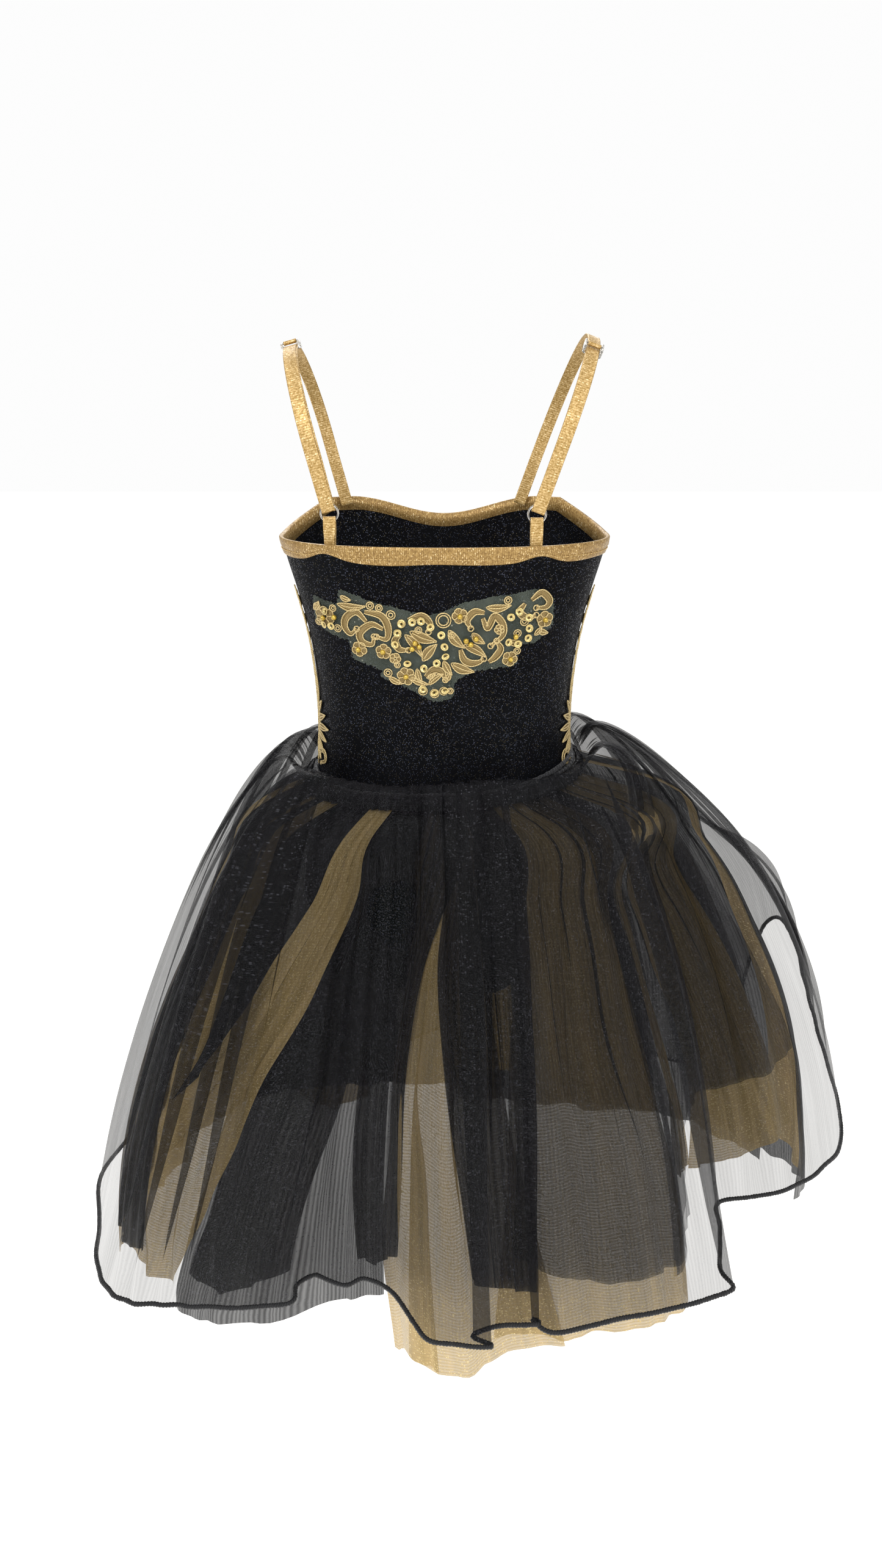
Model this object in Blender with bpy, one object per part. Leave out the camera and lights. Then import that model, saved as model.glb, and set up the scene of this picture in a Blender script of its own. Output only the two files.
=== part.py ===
"""Child's cheer and dance uniform: a strappy leotard with a gathered net skirt.

Metres, +Z up. The wearer faces -Y and the wearer's left is +X. The origin is the
middle of the line across the tops of the two shoulder straps.
"""

import math

import bmesh
import bpy
from mathutils import Matrix, Vector

# ---------------------------------------------------------------- driving sizes
MM = 0.001
WAIST_Z = -0.3055  # the seam that carries the skirt
GAP = 0.0003  # air between pieces that touch in the real garment
CLOTH = 0.0010  # stretch fabric, doubled at the seams
SHEER = 0.0009  # one ply of organza or net, as a solid that can be meshed

BACK_NECK_Z = -0.1305  # cut edge of the bodice across the back and under the arms
FRONT_NECK_Z = -0.1105  # the same edge where the straps start at the front
FRONT_DIP = 0.0140  # how far the front edge dips at the centre
CROTCH_Z = -0.4900
HEM_Z = -0.6700
LEG_LINE = ((0.027, CROTCH_Z), (0.110, -0.398))  # X and Z of a leg hole's ends, wearer's left
LEG_BAND = 0.006
TORSO_POWER = 2.3  # 2 is an ellipse; more is flatter across the back

TURN_STEPS = 40  # facets round the body; every layer shares them, so layers nest

# height, half width and half depth of the body that the leotard fits
TORSO = (
    (-0.100, 0.1236, 0.0907),
    (-0.145, 0.1137, 0.0865),
    (-0.169, 0.1068, 0.0843),
    (-0.193, 0.1008, 0.0820),
    (-0.231, 0.0955, 0.0780),
    (-0.270, 0.0942, 0.0760),
    (WAIST_Z, 0.0970, 0.0790),
    (-0.360, 0.1060, 0.0900),
    (-0.410, 0.1090, 0.0930),
    (-0.452, 0.0985, 0.0800),
    (-0.470, 0.0850, 0.0640),
    (-0.482, 0.0660, 0.0460),
    (CROTCH_Z, 0.0420, 0.0300),
)

# height, half width at the wearer's left and right, half depth behind and in front
NET = (
    (-0.3065, 0.1072, 0.1072, 0.0892, 0.0892),
    (-0.2880, 0.1210, 0.1260, 0.0990, 0.1000),
    (-0.3140, 0.1480, 0.1760, 0.1150, 0.1240),
    (-0.3740, 0.1860, 0.2400, 0.1340, 0.1460),
    (-0.4620, 0.2270, 0.2930, 0.1560, 0.1740),
    (-0.5700, 0.2680, 0.3380, 0.1790, 0.1980),
    (HEM_Z, 0.2970, 0.3640, 0.2040, 0.2200),
)
PANEL = (
    (-0.3140, 0.1130, 0.1130, 0.0955, 0.0955),
    (-0.3260, 0.1420, 0.1680, 0.1080, 0.1170),
    (-0.3800, 0.1780, 0.2310, 0.1260, 0.1380),
    (-0.4640, 0.2180, 0.2840, 0.1460, 0.1650),
    (-0.5700, 0.2580, 0.3280, 0.1680, 0.1880),
    (-0.6600, 0.2800, 0.3450, 0.1860, 0.2020),
    (-0.7600, 0.2930, 0.3540, 0.2000, 0.2120),
)
GOLD_INSET = 0.0050  # the gold panels hang this far inside the black ones
PANELS = 16  # of each colour, the black ones half a step on from the gold
PANEL_SLIT = math.radians(1.5)
# how far each panel's raw end hangs below the net's hem, going round from the left
GOLD_DROP = (-15, 10, 5, 60, 80, 60, 30, -15, -30, 10, 30, 5, 40, 20, -5, 25)
BLACK_DROP = (-20, 10, 50, 10, -15, 0, 10, -20, -10, 20, -5, 25, 10, -15, 20, 0)

STRAP_WIDTH = 0.0095
STRAP_THICK = 0.0008
TAB_WIDTH = 0.0085
PIVOT_Z = -0.1095  # the ring centres, and the strap starts at the front
RING_RADIUS = 0.00585
RING_WIRE = 0.00065
LOOP_PLAY = 0.00015
RING_INSET = 0.0052  # the ring hangs this far inside the body line, square to it
STRAP_FOOT = 0.0060  # the strap's front end runs this far below the pivot, behind the binding
LOOP_SPREAD = 0.0024  # between the middles of a ribbon's two plies where it turns round the ring
FOOT_SPREAD = 0.0012  # the same where the plies are sewn down
SLIDER_LENGTH = 0.0110
SLIDER_RAIL = 0.0015
BAR = 0.0010

# side, ring X, lean away from the neck, arch top above the pivot, slider angle
STRAPS = (
    ("left", 0.0765, 15.0, 0.1103, 86.0),
    ("right", -0.0605, -19.7, 0.1197, 60.0),
)

APPLIQUE_CENTRE = (0.0064, -0.1915)
# outline of the net backing, millimetres from its centre, as seen from behind
NET_OUTLINE = (
    (-82, 28), (-70, 27), (-64, 28), (-63, 35), (-50, 32), (-36, 29), (-22, 26),
    (-6, 22), (7, 22), (21, 29), (27, 28), (45, 33), (62, 37), (78, 36), (82, 26),
    (80, 18), (81, 4), (70, 0), (60, -3), (57, -14), (46, -14), (30, -18), (26, -23),
    (17, -26), (16, -36), (6, -39), (-8, -34), (-32, -26), (-36, -18), (-52, -11),
    (-57, 1), (-73, 6), (-81, 15),
)
CORDING_SHARE = 0.94  # the stitched cording stops this far inside the net's edge

RING_SIDES = 24


# ---------------------------------------------------------------- helpers
def clear_scene():
    for old in list(bpy.data.objects):
        bpy.data.objects.remove(old, do_unlink=True)


def material(name, colour, roughness, metallic=0.0, alpha=1.0):
    made = bpy.data.materials.new(name)
    made.use_nodes = True
    shader = made.node_tree.nodes["Principled BSDF"]
    shader.inputs["Base Color"].default_value = (*colour, 1.0)
    shader.inputs["Roughness"].default_value = roughness
    shader.inputs["Metallic"].default_value = metallic
    shader.inputs["Alpha"].default_value = alpha
    return made


def add_object(name, mesh, finish=None, smooth=True):
    made = bpy.data.objects.new(name, mesh)
    bpy.context.scene.collection.objects.link(made)
    if finish is not None:
        mesh.materials.append(finish)
    if smooth:
        mesh.shade_smooth()
        mesh.set_sharp_from_angle(angle=math.radians(40))
    return made


def as_helper(made):
    """A cutter: kept out of the model and drawn as wire."""
    made.hide_render = True
    made.display_type = "WIRE"
    return made


def boolean(made, cutter, operation):
    step = made.modifiers.new(f"{operation.lower()}_{cutter.name}", "BOOLEAN")
    step.operation = operation
    step.solver = "EXACT"
    step.object = cutter


def table_row(rows, height):
    """Reads a table at any height, straight between its rows."""
    rows = sorted(rows)
    height = min(max(height, rows[0][0]), rows[-1][0])
    low, high = next(pair for pair in zip(rows, rows[1:]) if height <= pair[1][0])
    share = (height - low[0]) / (high[0] - low[0])
    return [a + (b - a) * share for a, b in zip(low[1:], high[1:])]


def round_radius(angle, half_x, half_y, power):
    """Distance from the axis to a superellipse in the direction of angle."""
    across = abs(math.cos(angle)) / half_x
    along = abs(math.sin(angle)) / half_y
    return (across**power + along**power) ** (-1 / power)


def torso_point(angle, z, offset=0.0):
    half_x, half_y = table_row(TORSO, z)
    radius = round_radius(angle, half_x, half_y, TORSO_POWER) + offset
    return Vector((radius * math.cos(angle), radius * math.sin(angle), z))


def torso_y(x, z, offset=0.0):
    """Y of the back surface above a point given by x and z."""
    half_x, half_y = table_row(TORSO, z)
    share = max(0.0, 1 - (abs(x) / half_x) ** TORSO_POWER)
    return half_y * share ** (1 / TORSO_POWER) + offset


def skirt_point(rows, index, angle, inset=0.0):
    z, left, right, back, front = rows[index]
    half_x = left if math.cos(angle) > 0 else right
    half_y = back if math.sin(angle) > 0 else front
    radius = round_radius(angle, half_x - inset, half_y - inset, TORSO_POWER)
    return Vector((radius * math.cos(angle), radius * math.sin(angle), z))


def neck_z(angle):
    """Height of the bodice's top edge: level behind, higher over the chest."""
    front = max(0.0, -math.sin(angle))
    rise = (FRONT_NECK_Z - BACK_NECK_Z) * min(1.0, front / 0.60) ** 2
    dip = FRONT_DIP * max(0.0, (front - 0.72) / 0.28) ** 2
    return BACK_NECK_Z + rise - dip


def sheet_solid(name, outer, inner, closed, finish):
    """One closed body between two grids of points, rows by columns.

    closed joins the last column to the first; otherwise both ends get walls.
    """
    rows, columns = len(outer), len(outer[0])
    frame = bmesh.new()
    sides = [[[frame.verts.new(p) for p in row] for row in grid] for grid in (outer, inner)]
    steps = columns if closed else columns - 1
    for i in range(rows - 1):
        for j in range(steps):
            k = (j + 1) % columns
            for side in sides:
                frame.faces.new((side[i][j], side[i][k], side[i + 1][k], side[i + 1][j]))
    for i in (0, rows - 1):
        for j in range(steps):
            k = (j + 1) % columns
            frame.faces.new((sides[0][i][j], sides[0][i][k], sides[1][i][k], sides[1][i][j]))
    if not closed:
        for j in (0, columns - 1):
            for i in range(rows - 1):
                frame.faces.new(
                    (sides[0][i][j], sides[0][i + 1][j], sides[1][i + 1][j], sides[1][i][j])
                )
    bmesh.ops.recalc_face_normals(frame, faces=frame.faces)
    mesh = bpy.data.meshes.new(name)
    frame.to_mesh(mesh)
    frame.free()
    return add_object(name, mesh, finish)


def swept_ring(name, profile_at, count, finish):
    """A closed loop of profiles; profile_at(angle) gives one profile's points."""
    frame = bmesh.new()
    loops = [
        [frame.verts.new(p) for p in profile_at(2 * math.pi * i / count)] for i in range(count)
    ]
    points = len(loops[0])
    for i in range(count):
        here, there = loops[i], loops[(i + 1) % count]
        for j in range(points):
            k = (j + 1) % points
            frame.faces.new((here[j], here[k], there[k], there[j]))
    bmesh.ops.recalc_face_normals(frame, faces=frame.faces)
    mesh = bpy.data.meshes.new(name)
    frame.to_mesh(mesh)
    frame.free()
    return add_object(name, mesh, finish)


def swept_ribbon(name, path, width, thick, finish):
    """A flat ribbon along path, a list of (y, z) in its own plane, wide along X."""
    outer, inner = [], []
    for i, (y, z) in enumerate(path):
        before, after = path[max(i - 1, 0)], path[min(i + 1, len(path) - 1)]
        run = Vector((0, after[0] - before[0], after[1] - before[1])).normalized()
        side = Vector((0, -run.z, run.y)) * thick / 2
        middle = Vector((0, y, z))
        for rows, at in ((outer, middle + side), (inner, middle - side)):
            rows.append([at + Vector((x, 0, 0)) for x in (-width / 2, width / 2)])
    return sheet_solid(name, outer, inner, False, finish)


def box_mesh(name, low, high):
    frame = bmesh.new()
    bmesh.ops.create_cube(frame, size=1.0)
    size = Vector(high) - Vector(low)
    centre = (Vector(high) + Vector(low)) / 2
    bmesh.ops.transform(
        frame, matrix=Matrix.Translation(centre) @ Matrix.Diagonal((*size, 1)), verts=frame.verts
    )
    mesh = bpy.data.meshes.new(name)
    frame.to_mesh(mesh)
    frame.free()
    return mesh


def angles(first, last, count):
    return [first + (last - first) * i / (count - 1) for i in range(count)]


# ---------------------------------------------------------------- leotard
def body_patch(name, first, last, top_at, bottom_z, offset, thick, finish):
    """Part of the torso's surface between two angles, as a solid of that thickness."""
    step = 2 * math.pi / TURN_STEPS
    inside = [step * i for i in range(2 * TURN_STEPS)]
    turns = [first] + [a for a in inside if first + step / 4 < a < last - step / 4] + [last]
    lowest_top = min(top_at(a) for a in turns)
    heights = [row[0] for row in TORSO if bottom_z + MM < row[0] < lowest_top - MM] + [bottom_z]
    grids = [
        [[torso_point(a, top_at(a), out) for a in turns]]
        + [[torso_point(a, z, out) for a in turns] for z in heights]
        for out in (offset + thick, offset)
    ]
    return sheet_solid(name, *grids, False, finish)


def build_bodice(black):
    """Back and front panels, which meet at the side seams."""
    seam = math.radians(0.15)
    for name, start in (("bodice_back", 0.0), ("bodice_front", math.pi)):
        body_patch(
            name, start + seam, start + math.pi - seam, neck_z, WAIST_Z, -CLOTH, CLOTH, black
        )


def build_neck_binding(gold):
    """Fold-over elastic that takes the bodice's top edge into its fold."""
    leg, ply = 0.0095, 0.0007
    outside, inside = GAP, -CLOTH - GAP
    profile = (
        (outside + ply, -leg), (outside + ply, GAP + ply), (inside - ply, GAP + ply),
        (inside - ply, -leg), (inside, -leg), (inside, GAP), (outside, GAP), (outside, -leg),
    )

    def at(angle):
        top = neck_z(angle)
        return [torso_point(angle, top + rise, out) for out, rise in profile]

    swept_ring("neck_binding", at, TURN_STEPS, gold)


def brief_solid(name, offset, thick):
    """The lower leotard before its leg holes are cut: a bowl, open at the waist."""
    sides = TURN_STEPS
    heights = [WAIST_Z - GAP] + [row[0] for row in TORSO if row[0] < WAIST_Z]
    frame = bmesh.new()
    shells = []
    for out, lift in ((offset + thick, 0.0), (offset, thick)):
        shell = []
        for z in heights:
            rise = lift * (WAIST_Z - z) / (WAIST_Z - CROTCH_Z)
            ring = [torso_point(2 * math.pi * j / sides, z, out) for j in range(sides)]
            shell.append([frame.verts.new(point + Vector((0, 0, rise))) for point in ring])
        shells.append(shell)
    for j in range(sides):
        k = (j + 1) % sides
        for shell in shells:
            for here, there in zip(shell, shell[1:]):
                frame.faces.new((here[j], here[k], there[k], there[j]))
        frame.faces.new((shells[0][0][j], shells[0][0][k], shells[1][0][k], shells[1][0][j]))
    for shell in shells:
        frame.faces.new(shell[-1])
    bmesh.ops.recalc_face_normals(frame, faces=frame.faces)
    mesh = bpy.data.meshes.new(name)
    frame.to_mesh(mesh)
    frame.free()
    return mesh


def leg_cutter(name, side, inset):
    """A block beyond one leg hole; its face runs from the crotch up to the hip."""
    crotch, hip = LEG_LINE
    up = Vector((side * (hip[0] - crotch[0]), 0, hip[1] - crotch[1])).normalized()
    out = side * Vector((up.z, 0, -up.x))
    mesh = box_mesh(name, (-0.1, -0.2, -inset), (0.3, 0.2, 0.3))
    turn = Matrix((up, out.cross(up), out)).transposed().to_4x4()
    mesh.transform(Matrix.Translation((side * crotch[0], 0, crotch[1])) @ turn)
    return as_helper(add_object(name, mesh, smooth=False))


def build_brief(black):
    """Front and back of the brief, and the elastic round each leg."""
    halves = (("brief_back", 1), ("brief_front", -1))
    wide = [leg_cutter(f"leg_cut_wide_{s}", s, LEG_BAND + GAP) for s in (-1, 1)]
    for name, way in halves:
        keep = as_helper(
            add_object(
                f"half_{name}",
                box_mesh(f"half_{name}", (-0.2, min(0, way * 0.2), -0.52), (0.2, max(0, way * 0.2), -0.28)),
            )
        )
        keep.location.y = way * GAP / 2
        half = add_object(name, brief_solid(name, -CLOTH, CLOTH), black)
        boolean(half, keep, "INTERSECT")
        for cutter in wide:
            boolean(half, cutter, "DIFFERENCE")
    for side, word in ((1, "left"), (-1, "right")):
        elastic = add_object(
            f"leg_elastic_{word}", brief_solid(f"leg_elastic_{word}", -CLOTH - 0.0004, CLOTH + 0.0008), black
        )
        boolean(elastic, leg_cutter(f"leg_cut_band_{word}", side, LEG_BAND), "INTERSECT")
        boolean(elastic, leg_cutter(f"leg_cut_hole_{word}", side, 0.0), "DIFFERENCE")


def build_waist_elastic(black):
    """Narrow elastic over the waist seam, which the skirt's gathers are sewn to."""
    top, bottom = WAIST_Z + 0.006, WAIST_Z - 0.006
    profile = ((GAP, top), (GAP + 0.0012, top), (GAP + 0.0012, bottom), (GAP, bottom))
    swept_ring(
        "waist_elastic",
        lambda angle: [torso_point(angle, z, out) for out, z in profile],
        TURN_STEPS,
        black,
    )


def build_lace(gold_lace):
    """Gold lace over the whole front, and its edging lapped over each side seam."""
    edge, seam = math.radians(9), math.radians(0.15)

    def below_binding(angle):
        return neck_z(angle) - 0.0105

    body_patch(
        "front_lace", math.pi + edge + seam, 2 * math.pi - edge - seam, below_binding,
        WAIST_Z + 0.007, GAP, 0.0007, gold_lace,
    )
    for word, middle in (("left", 0.0), ("right", math.pi)):
        body_patch(
            f"side_lace_{word}", middle - edge + seam, middle + edge - seam,
            lambda angle: BACK_NECK_Z - 0.030, WAIST_Z + 0.007, GAP, 0.0007, gold_lace,
        )


# ---------------------------------------------------------------- back applique
def outline_prism(name, share):
    """The applique's outline, pushed through the back along Y, as a cutter."""
    centre_x, centre_z = APPLIQUE_CENTRE
    frame = bmesh.new()
    # the outline is given as seen from behind, where the wearer's left is on the left
    ends = [
        [
            frame.verts.new((centre_x - x * MM * share, y, centre_z + z * MM * share))
            for x, z in NET_OUTLINE
        ]
        for y in (0.010, 0.120)
    ]
    frame.faces.new(ends[0])
    frame.faces.new(ends[1])
    for i in range(len(NET_OUTLINE)):
        k = (i + 1) % len(NET_OUTLINE)
        frame.faces.new((ends[0][i], ends[0][k], ends[1][k], ends[1][i]))
    bmesh.ops.recalc_face_normals(frame, faces=frame.faces)
    mesh = bpy.data.meshes.new(name)
    frame.to_mesh(mesh)
    frame.free()
    return as_helper(add_object(name, mesh))


def build_applique(net, gold_lace):
    """Net backing, and the stitched cording on it."""
    layers = (
        ("applique_net", GAP, 0.0005, 1.0, net),
        ("applique_cording", 2 * GAP + 0.0005, 0.0008, CORDING_SHARE, gold_lace),
    )
    for name, offset, thick, share, finish in layers:
        patch = body_patch(
            name, math.radians(18), math.radians(162), lambda angle: -0.1451, -0.2449,
            offset, thick, finish,
        )
        boolean(patch, outline_prism(f"{name}_outline", share), "INTERSECT")


# ---------------------------------------------------------------- straps
def strap_plane(ring_x, lean):
    """Turns a strap's own plane, with Y and Z through the pivot, into place."""
    return Matrix.Translation((ring_x, 0, PIVOT_Z)) @ Matrix.Rotation(math.radians(lean), 4, "Y")


def back_turn(ring_x):
    """How far the back has turned from facing +Y below a ring."""
    step = 0.001
    fall = torso_y(ring_x + step, BACK_NECK_Z) - torso_y(ring_x - step, BACK_NECK_Z)
    return math.atan2(fall, 2 * step)


def ring_y(ring_x):
    return torso_y(ring_x, BACK_NECK_Z) - RING_INSET / math.cos(back_turn(ring_x))


def loop_reach(width):
    """How far from the ring's centre a flat ribbon of that width lies on the ring's inside."""
    inside = RING_RADIUS - RING_WIRE
    return math.sqrt(inside**2 - (width / 2) ** 2) - LOOP_PLAY


def hairpin(y, tip_z, way):
    """Half-round turn of a ribbon; way is 1 for a turn at the top, -1 at the bottom."""
    radius = LOOP_SPREAD / 2
    return [
        (y + radius * math.cos(a), tip_z + way * radius * (math.sin(a) - 1))
        for a in angles(0, math.pi, 7)
    ]


def build_strap(side, ring_x, lean, top, slider_angle, gold):
    """Sewn inside the front binding, over the shoulder, round the ring and back up."""
    depth = ring_y(ring_x)
    outer_y = depth + LOOP_SPREAD / 2
    radius = (outer_y + depth) / 2
    middle_y = outer_y - radius
    spring = top - radius - STRAP_THICK / 2
    arch = [
        (middle_y + radius * math.cos(a), spring + radius * math.sin(a))
        for a in angles(math.pi, 0, 31)
    ]
    width = STRAP_WIDTH - 0.0005
    tip = loop_reach(width) - STRAP_THICK / 2
    closing = STRAP_THICK + GAP
    inner = radius - closing
    # the return ply lies close inside the main ply and ends under the slider
    end = math.radians(slider_angle - 2)
    back = [
        (middle_y + inner * math.cos(a), spring + inner * math.sin(a)) for a in angles(0, end, 15)
    ]
    path = [(-depth, -STRAP_FOOT), (-depth, spring / 2)] + arch + [(outer_y, spring / 2)]
    path += hairpin(depth, tip, -1)
    path += [(depth - LOOP_SPREAD / 2, tip + 0.004), (outer_y - closing, tip + 0.012)] + back
    strap = swept_ribbon(f"strap_{side}", path, width, STRAP_THICK, gold)
    strap.data.transform(strap_plane(ring_x, lean))
    return middle_y, spring, radius, closing


def build_slider(side, ring_x, lean, arch, slider_angle, clear, gold):
    """Clear adjuster with two bars behind the strap, one in front and a fabric loop on it."""
    middle_y, spring, radius, closing = arch
    half_w = STRAP_WIDTH / 2 + GAP
    outer_face = STRAP_THICK / 2 + GAP + 0.0002
    inner_face = -(STRAP_THICK / 2 + closing + GAP + 0.0002)
    loop_ply = 0.0005
    loop_radius = BAR / math.sqrt(2) + LOOP_PLAY + loop_ply
    bar_n = outer_face + loop_radius
    low = (-half_w - SLIDER_RAIL, inner_face - BAR, -SLIDER_LENGTH / 2)
    high = (half_w + SLIDER_RAIL, bar_n + BAR / 2, SLIDER_LENGTH / 2)
    name = f"slider_{side}"
    slider = add_object(name, box_mesh(name, low, high), clear, smooth=False)
    windows = (
        ("passage", (-half_w, inner_face, -0.02), (half_w, outer_face, 0.02)),
        ("front_top", (-half_w, outer_face - 0.0005, BAR / 2), (half_w, 0.02, 0.02)),
        ("front_low", (-half_w, outer_face - 0.0005, -0.02), (half_w, 0.02, -BAR / 2)),
        ("front_mid", (-half_w, outer_face - 0.0005, -0.001), (half_w, bar_n - BAR / 2, 0.001)),
        ("behind", (-half_w, -0.02, 0.0012 - SLIDER_LENGTH / 2), (half_w, inner_face + 0.0005, SLIDER_LENGTH / 2 - 0.0012)),
    )
    turn = Matrix.Rotation(math.radians(slider_angle), 4, "X")
    place = strap_plane(ring_x, lean) @ Matrix.Translation((0, middle_y, spring)) @ turn
    local = place @ Matrix.Translation((0, radius, 0))
    for word, start, end in windows:
        cutter = as_helper(add_object(f"{name}_{word}", box_mesh(f"{name}_{word}", start, end)))
        cutter.matrix_world = local
        boolean(slider, cutter, "DIFFERENCE")
    slider.matrix_world = local

    def ring_profile(angle):
        out = Vector((0, math.cos(angle), math.sin(angle)))
        half = STRAP_WIDTH / 2 - 0.0004
        inside = loop_radius - loop_ply
        middle = Vector((0, bar_n, 0))
        return [
            middle + out * r + Vector((x, 0, 0))
            for r, x in ((inside, -half), (loop_radius, -half), (loop_radius, half), (inside, half))
        ]

    loop = swept_ring(f"slider_loop_{side}", ring_profile, 16, gold)
    loop.data.transform(local)


def build_ring(side, ring_x, clear):
    """Round clear ring that links the strap to its tab; it lies in the XZ plane."""
    centre = Vector((ring_x, ring_y(ring_x), PIVOT_Z))

    def profile(angle):
        out = Vector((math.cos(angle), 0, math.sin(angle)))
        return [
            centre
            + out * (RING_RADIUS + RING_WIRE * math.cos(a))
            + Vector((0, RING_WIRE * math.sin(a), 0))
            for a in (2 * math.pi * i / 8 for i in range(8))
        ]

    swept_ring(f"ring_{side}", profile, RING_SIDES, clear)


def build_tab(side, ring_x, gold):
    """Short ribbon sewn inside the back binding, looped up through the ring."""
    depth = ring_y(ring_x)
    tip = -(loop_reach(TAB_WIDTH) - STRAP_THICK / 2)
    foot = BACK_NECK_Z - PIVOT_Z - 0.009
    down = angles(-0.006, foot, 7)
    near = [LOOP_SPREAD + (FOOT_SPREAD - LOOP_SPREAD) * (z + 0.006) / (foot + 0.006) for z in down]
    behind = [(spread / 2, z) for spread, z in zip(near, down)]
    inside = [(-spread / 2, z) for spread, z in zip(near, down)]
    path = behind[::-1] + hairpin(0.0, tip, 1) + inside
    tab = swept_ribbon(f"ring_tab_{side}", path, TAB_WIDTH, STRAP_THICK, gold)
    # below the ring the ribbon twists to lie flat against the body
    turn = back_turn(ring_x)
    for corner in tab.data.vertices:
        share = min(max((-0.006 - corner.co.z) / 0.010, 0.0), 1.0)
        corner.co = Matrix.Rotation(turn * share, 3, "Z") @ corner.co
    tab.data.transform(Matrix.Translation((ring_x, depth, PIVOT_Z)))


# ---------------------------------------------------------------- skirt
def underside(grid):
    """Each point moved by one ply's thickness to the under side of the cloth."""
    moved = []
    for i, row in enumerate(grid):
        above, below = grid[max(i - 1, 0)], grid[min(i + 1, len(grid) - 1)]
        points = []
        for point, start, end in zip(row, above, below):
            out = Vector((point.x, point.y, 0)).normalized()
            fall = end - start
            normal = (out * fall.z - Vector((0, 0, fall.dot(out)))).normalized()
            points.append(point + normal * SHEER)
        moved.append(points)
    return moved


def skirt_patch(name, rows, first, last, columns, bottom_z, inset, finish, closed=False):
    """A ply of the skirt between two angles, cut off level at bottom_z."""
    kept = [row for row in rows if row[0] > bottom_z + 0.004]
    kept.append((bottom_z, *table_row(rows[2:], bottom_z)))
    turns = [first + (last - first) * i / columns for i in range(columns)]
    if not closed:
        turns.append(last)
    outer = [[skirt_point(kept, i, a, inset) for a in turns] for i in range(len(kept))]
    return sheet_solid(name, outer, underside(outer), closed, finish)


def build_gathers(black):
    """The gathered head of the skirt, a soft roll round the waist elastic."""
    profile = ((0.0050, -0.3000), (0.0085, -0.3000), (0.0085, -0.3115), (0.0050, -0.3115))
    swept_ring(
        "skirt_gathers",
        lambda angle: [torso_point(angle, z, out) for out, z in profile],
        TURN_STEPS,
        black,
    )


def build_net(black_net, black):
    """The full outer net and the overlocked roll along its hem."""
    skirt_patch("skirt_net", NET, 0, 2 * math.pi, TURN_STEPS, HEM_Z, 0.0, black_net, closed=True)
    hem = [NET[-1]]
    half = 0.0015

    def profile(angle):
        point = skirt_point(hem, 0, angle, SHEER / 2) - Vector((0, 0, half + GAP))
        out = Vector((point.x, point.y, 0)).normalized()
        return [
            point + out * half * math.cos(a) + Vector((0, 0, half * math.sin(a)))
            for a in (2 * math.pi * i / 6 for i in range(6))
        ]

    swept_ring("hem_overlock", profile, TURN_STEPS, black)


def build_panels(black_organza, gold_organza):
    """Loose strips of organza under the net, gold inside and black outside."""
    share = 2 * math.pi / PANELS
    sets = (
        ("gold_panel", GOLD_DROP, 0.0, GOLD_INSET, gold_organza),
        ("black_panel", BLACK_DROP, share / 2, 0.0, black_organza),
    )
    for word, drops, start, inset, finish in sets:
        for number, drop in enumerate(drops):
            first = start + share * number + PANEL_SLIT / 2
            skirt_patch(
                f"{word}_{number + 1:02d}", PANEL, first, first + share - PANEL_SLIT, 3,
                HEM_Z - drop * MM, inset, finish,
            )


def main():
    clear_scene()
    black = material("black_stretch_knit", (0.012, 0.012, 0.018), 0.55)
    gold = material("gold_foil_elastic", (0.62, 0.40, 0.16), 0.38, 0.35)
    gold_lace = material("gold_corded_lace", (0.55, 0.42, 0.20), 0.45, 0.3)
    net = material("grey_net_backing", (0.25, 0.26, 0.24), 0.7, 0.0, 0.5)
    clear = material("clear_plastic", (0.9, 0.9, 0.9), 0.1, 0.0, 0.35)
    black_net = material("black_net", (0.02, 0.02, 0.025), 0.6, 0.0, 0.5)
    black_organza = material("black_organza", (0.02, 0.02, 0.03), 0.4, 0.0, 0.7)
    gold_organza = material("gold_organza", (0.50, 0.34, 0.12), 0.4, 0.1, 0.7)

    build_bodice(black)
    build_neck_binding(gold)
    build_brief(black)
    build_waist_elastic(black)
    build_lace(gold_lace)
    build_applique(net, gold_lace)
    for side, ring_x, lean, top, slider_angle in STRAPS:
        arch = build_strap(side, ring_x, lean, top, slider_angle, gold)
        build_slider(side, ring_x, lean, arch, slider_angle, clear, gold)
        build_ring(side, ring_x, clear)
        build_tab(side, ring_x, gold)
    build_gathers(black)
    build_net(black_net, black)
    build_panels(black_organza, gold_organza)


main()
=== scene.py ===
# A child's dance uniform: glitter leotard, gold straps, corded applique, net and organza skirt.
# The wearer faces -Y and the wearer's left is +X, in metres.
import math
import random

import bmesh
import bpy
import numpy as np
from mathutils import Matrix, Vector, geometry


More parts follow.
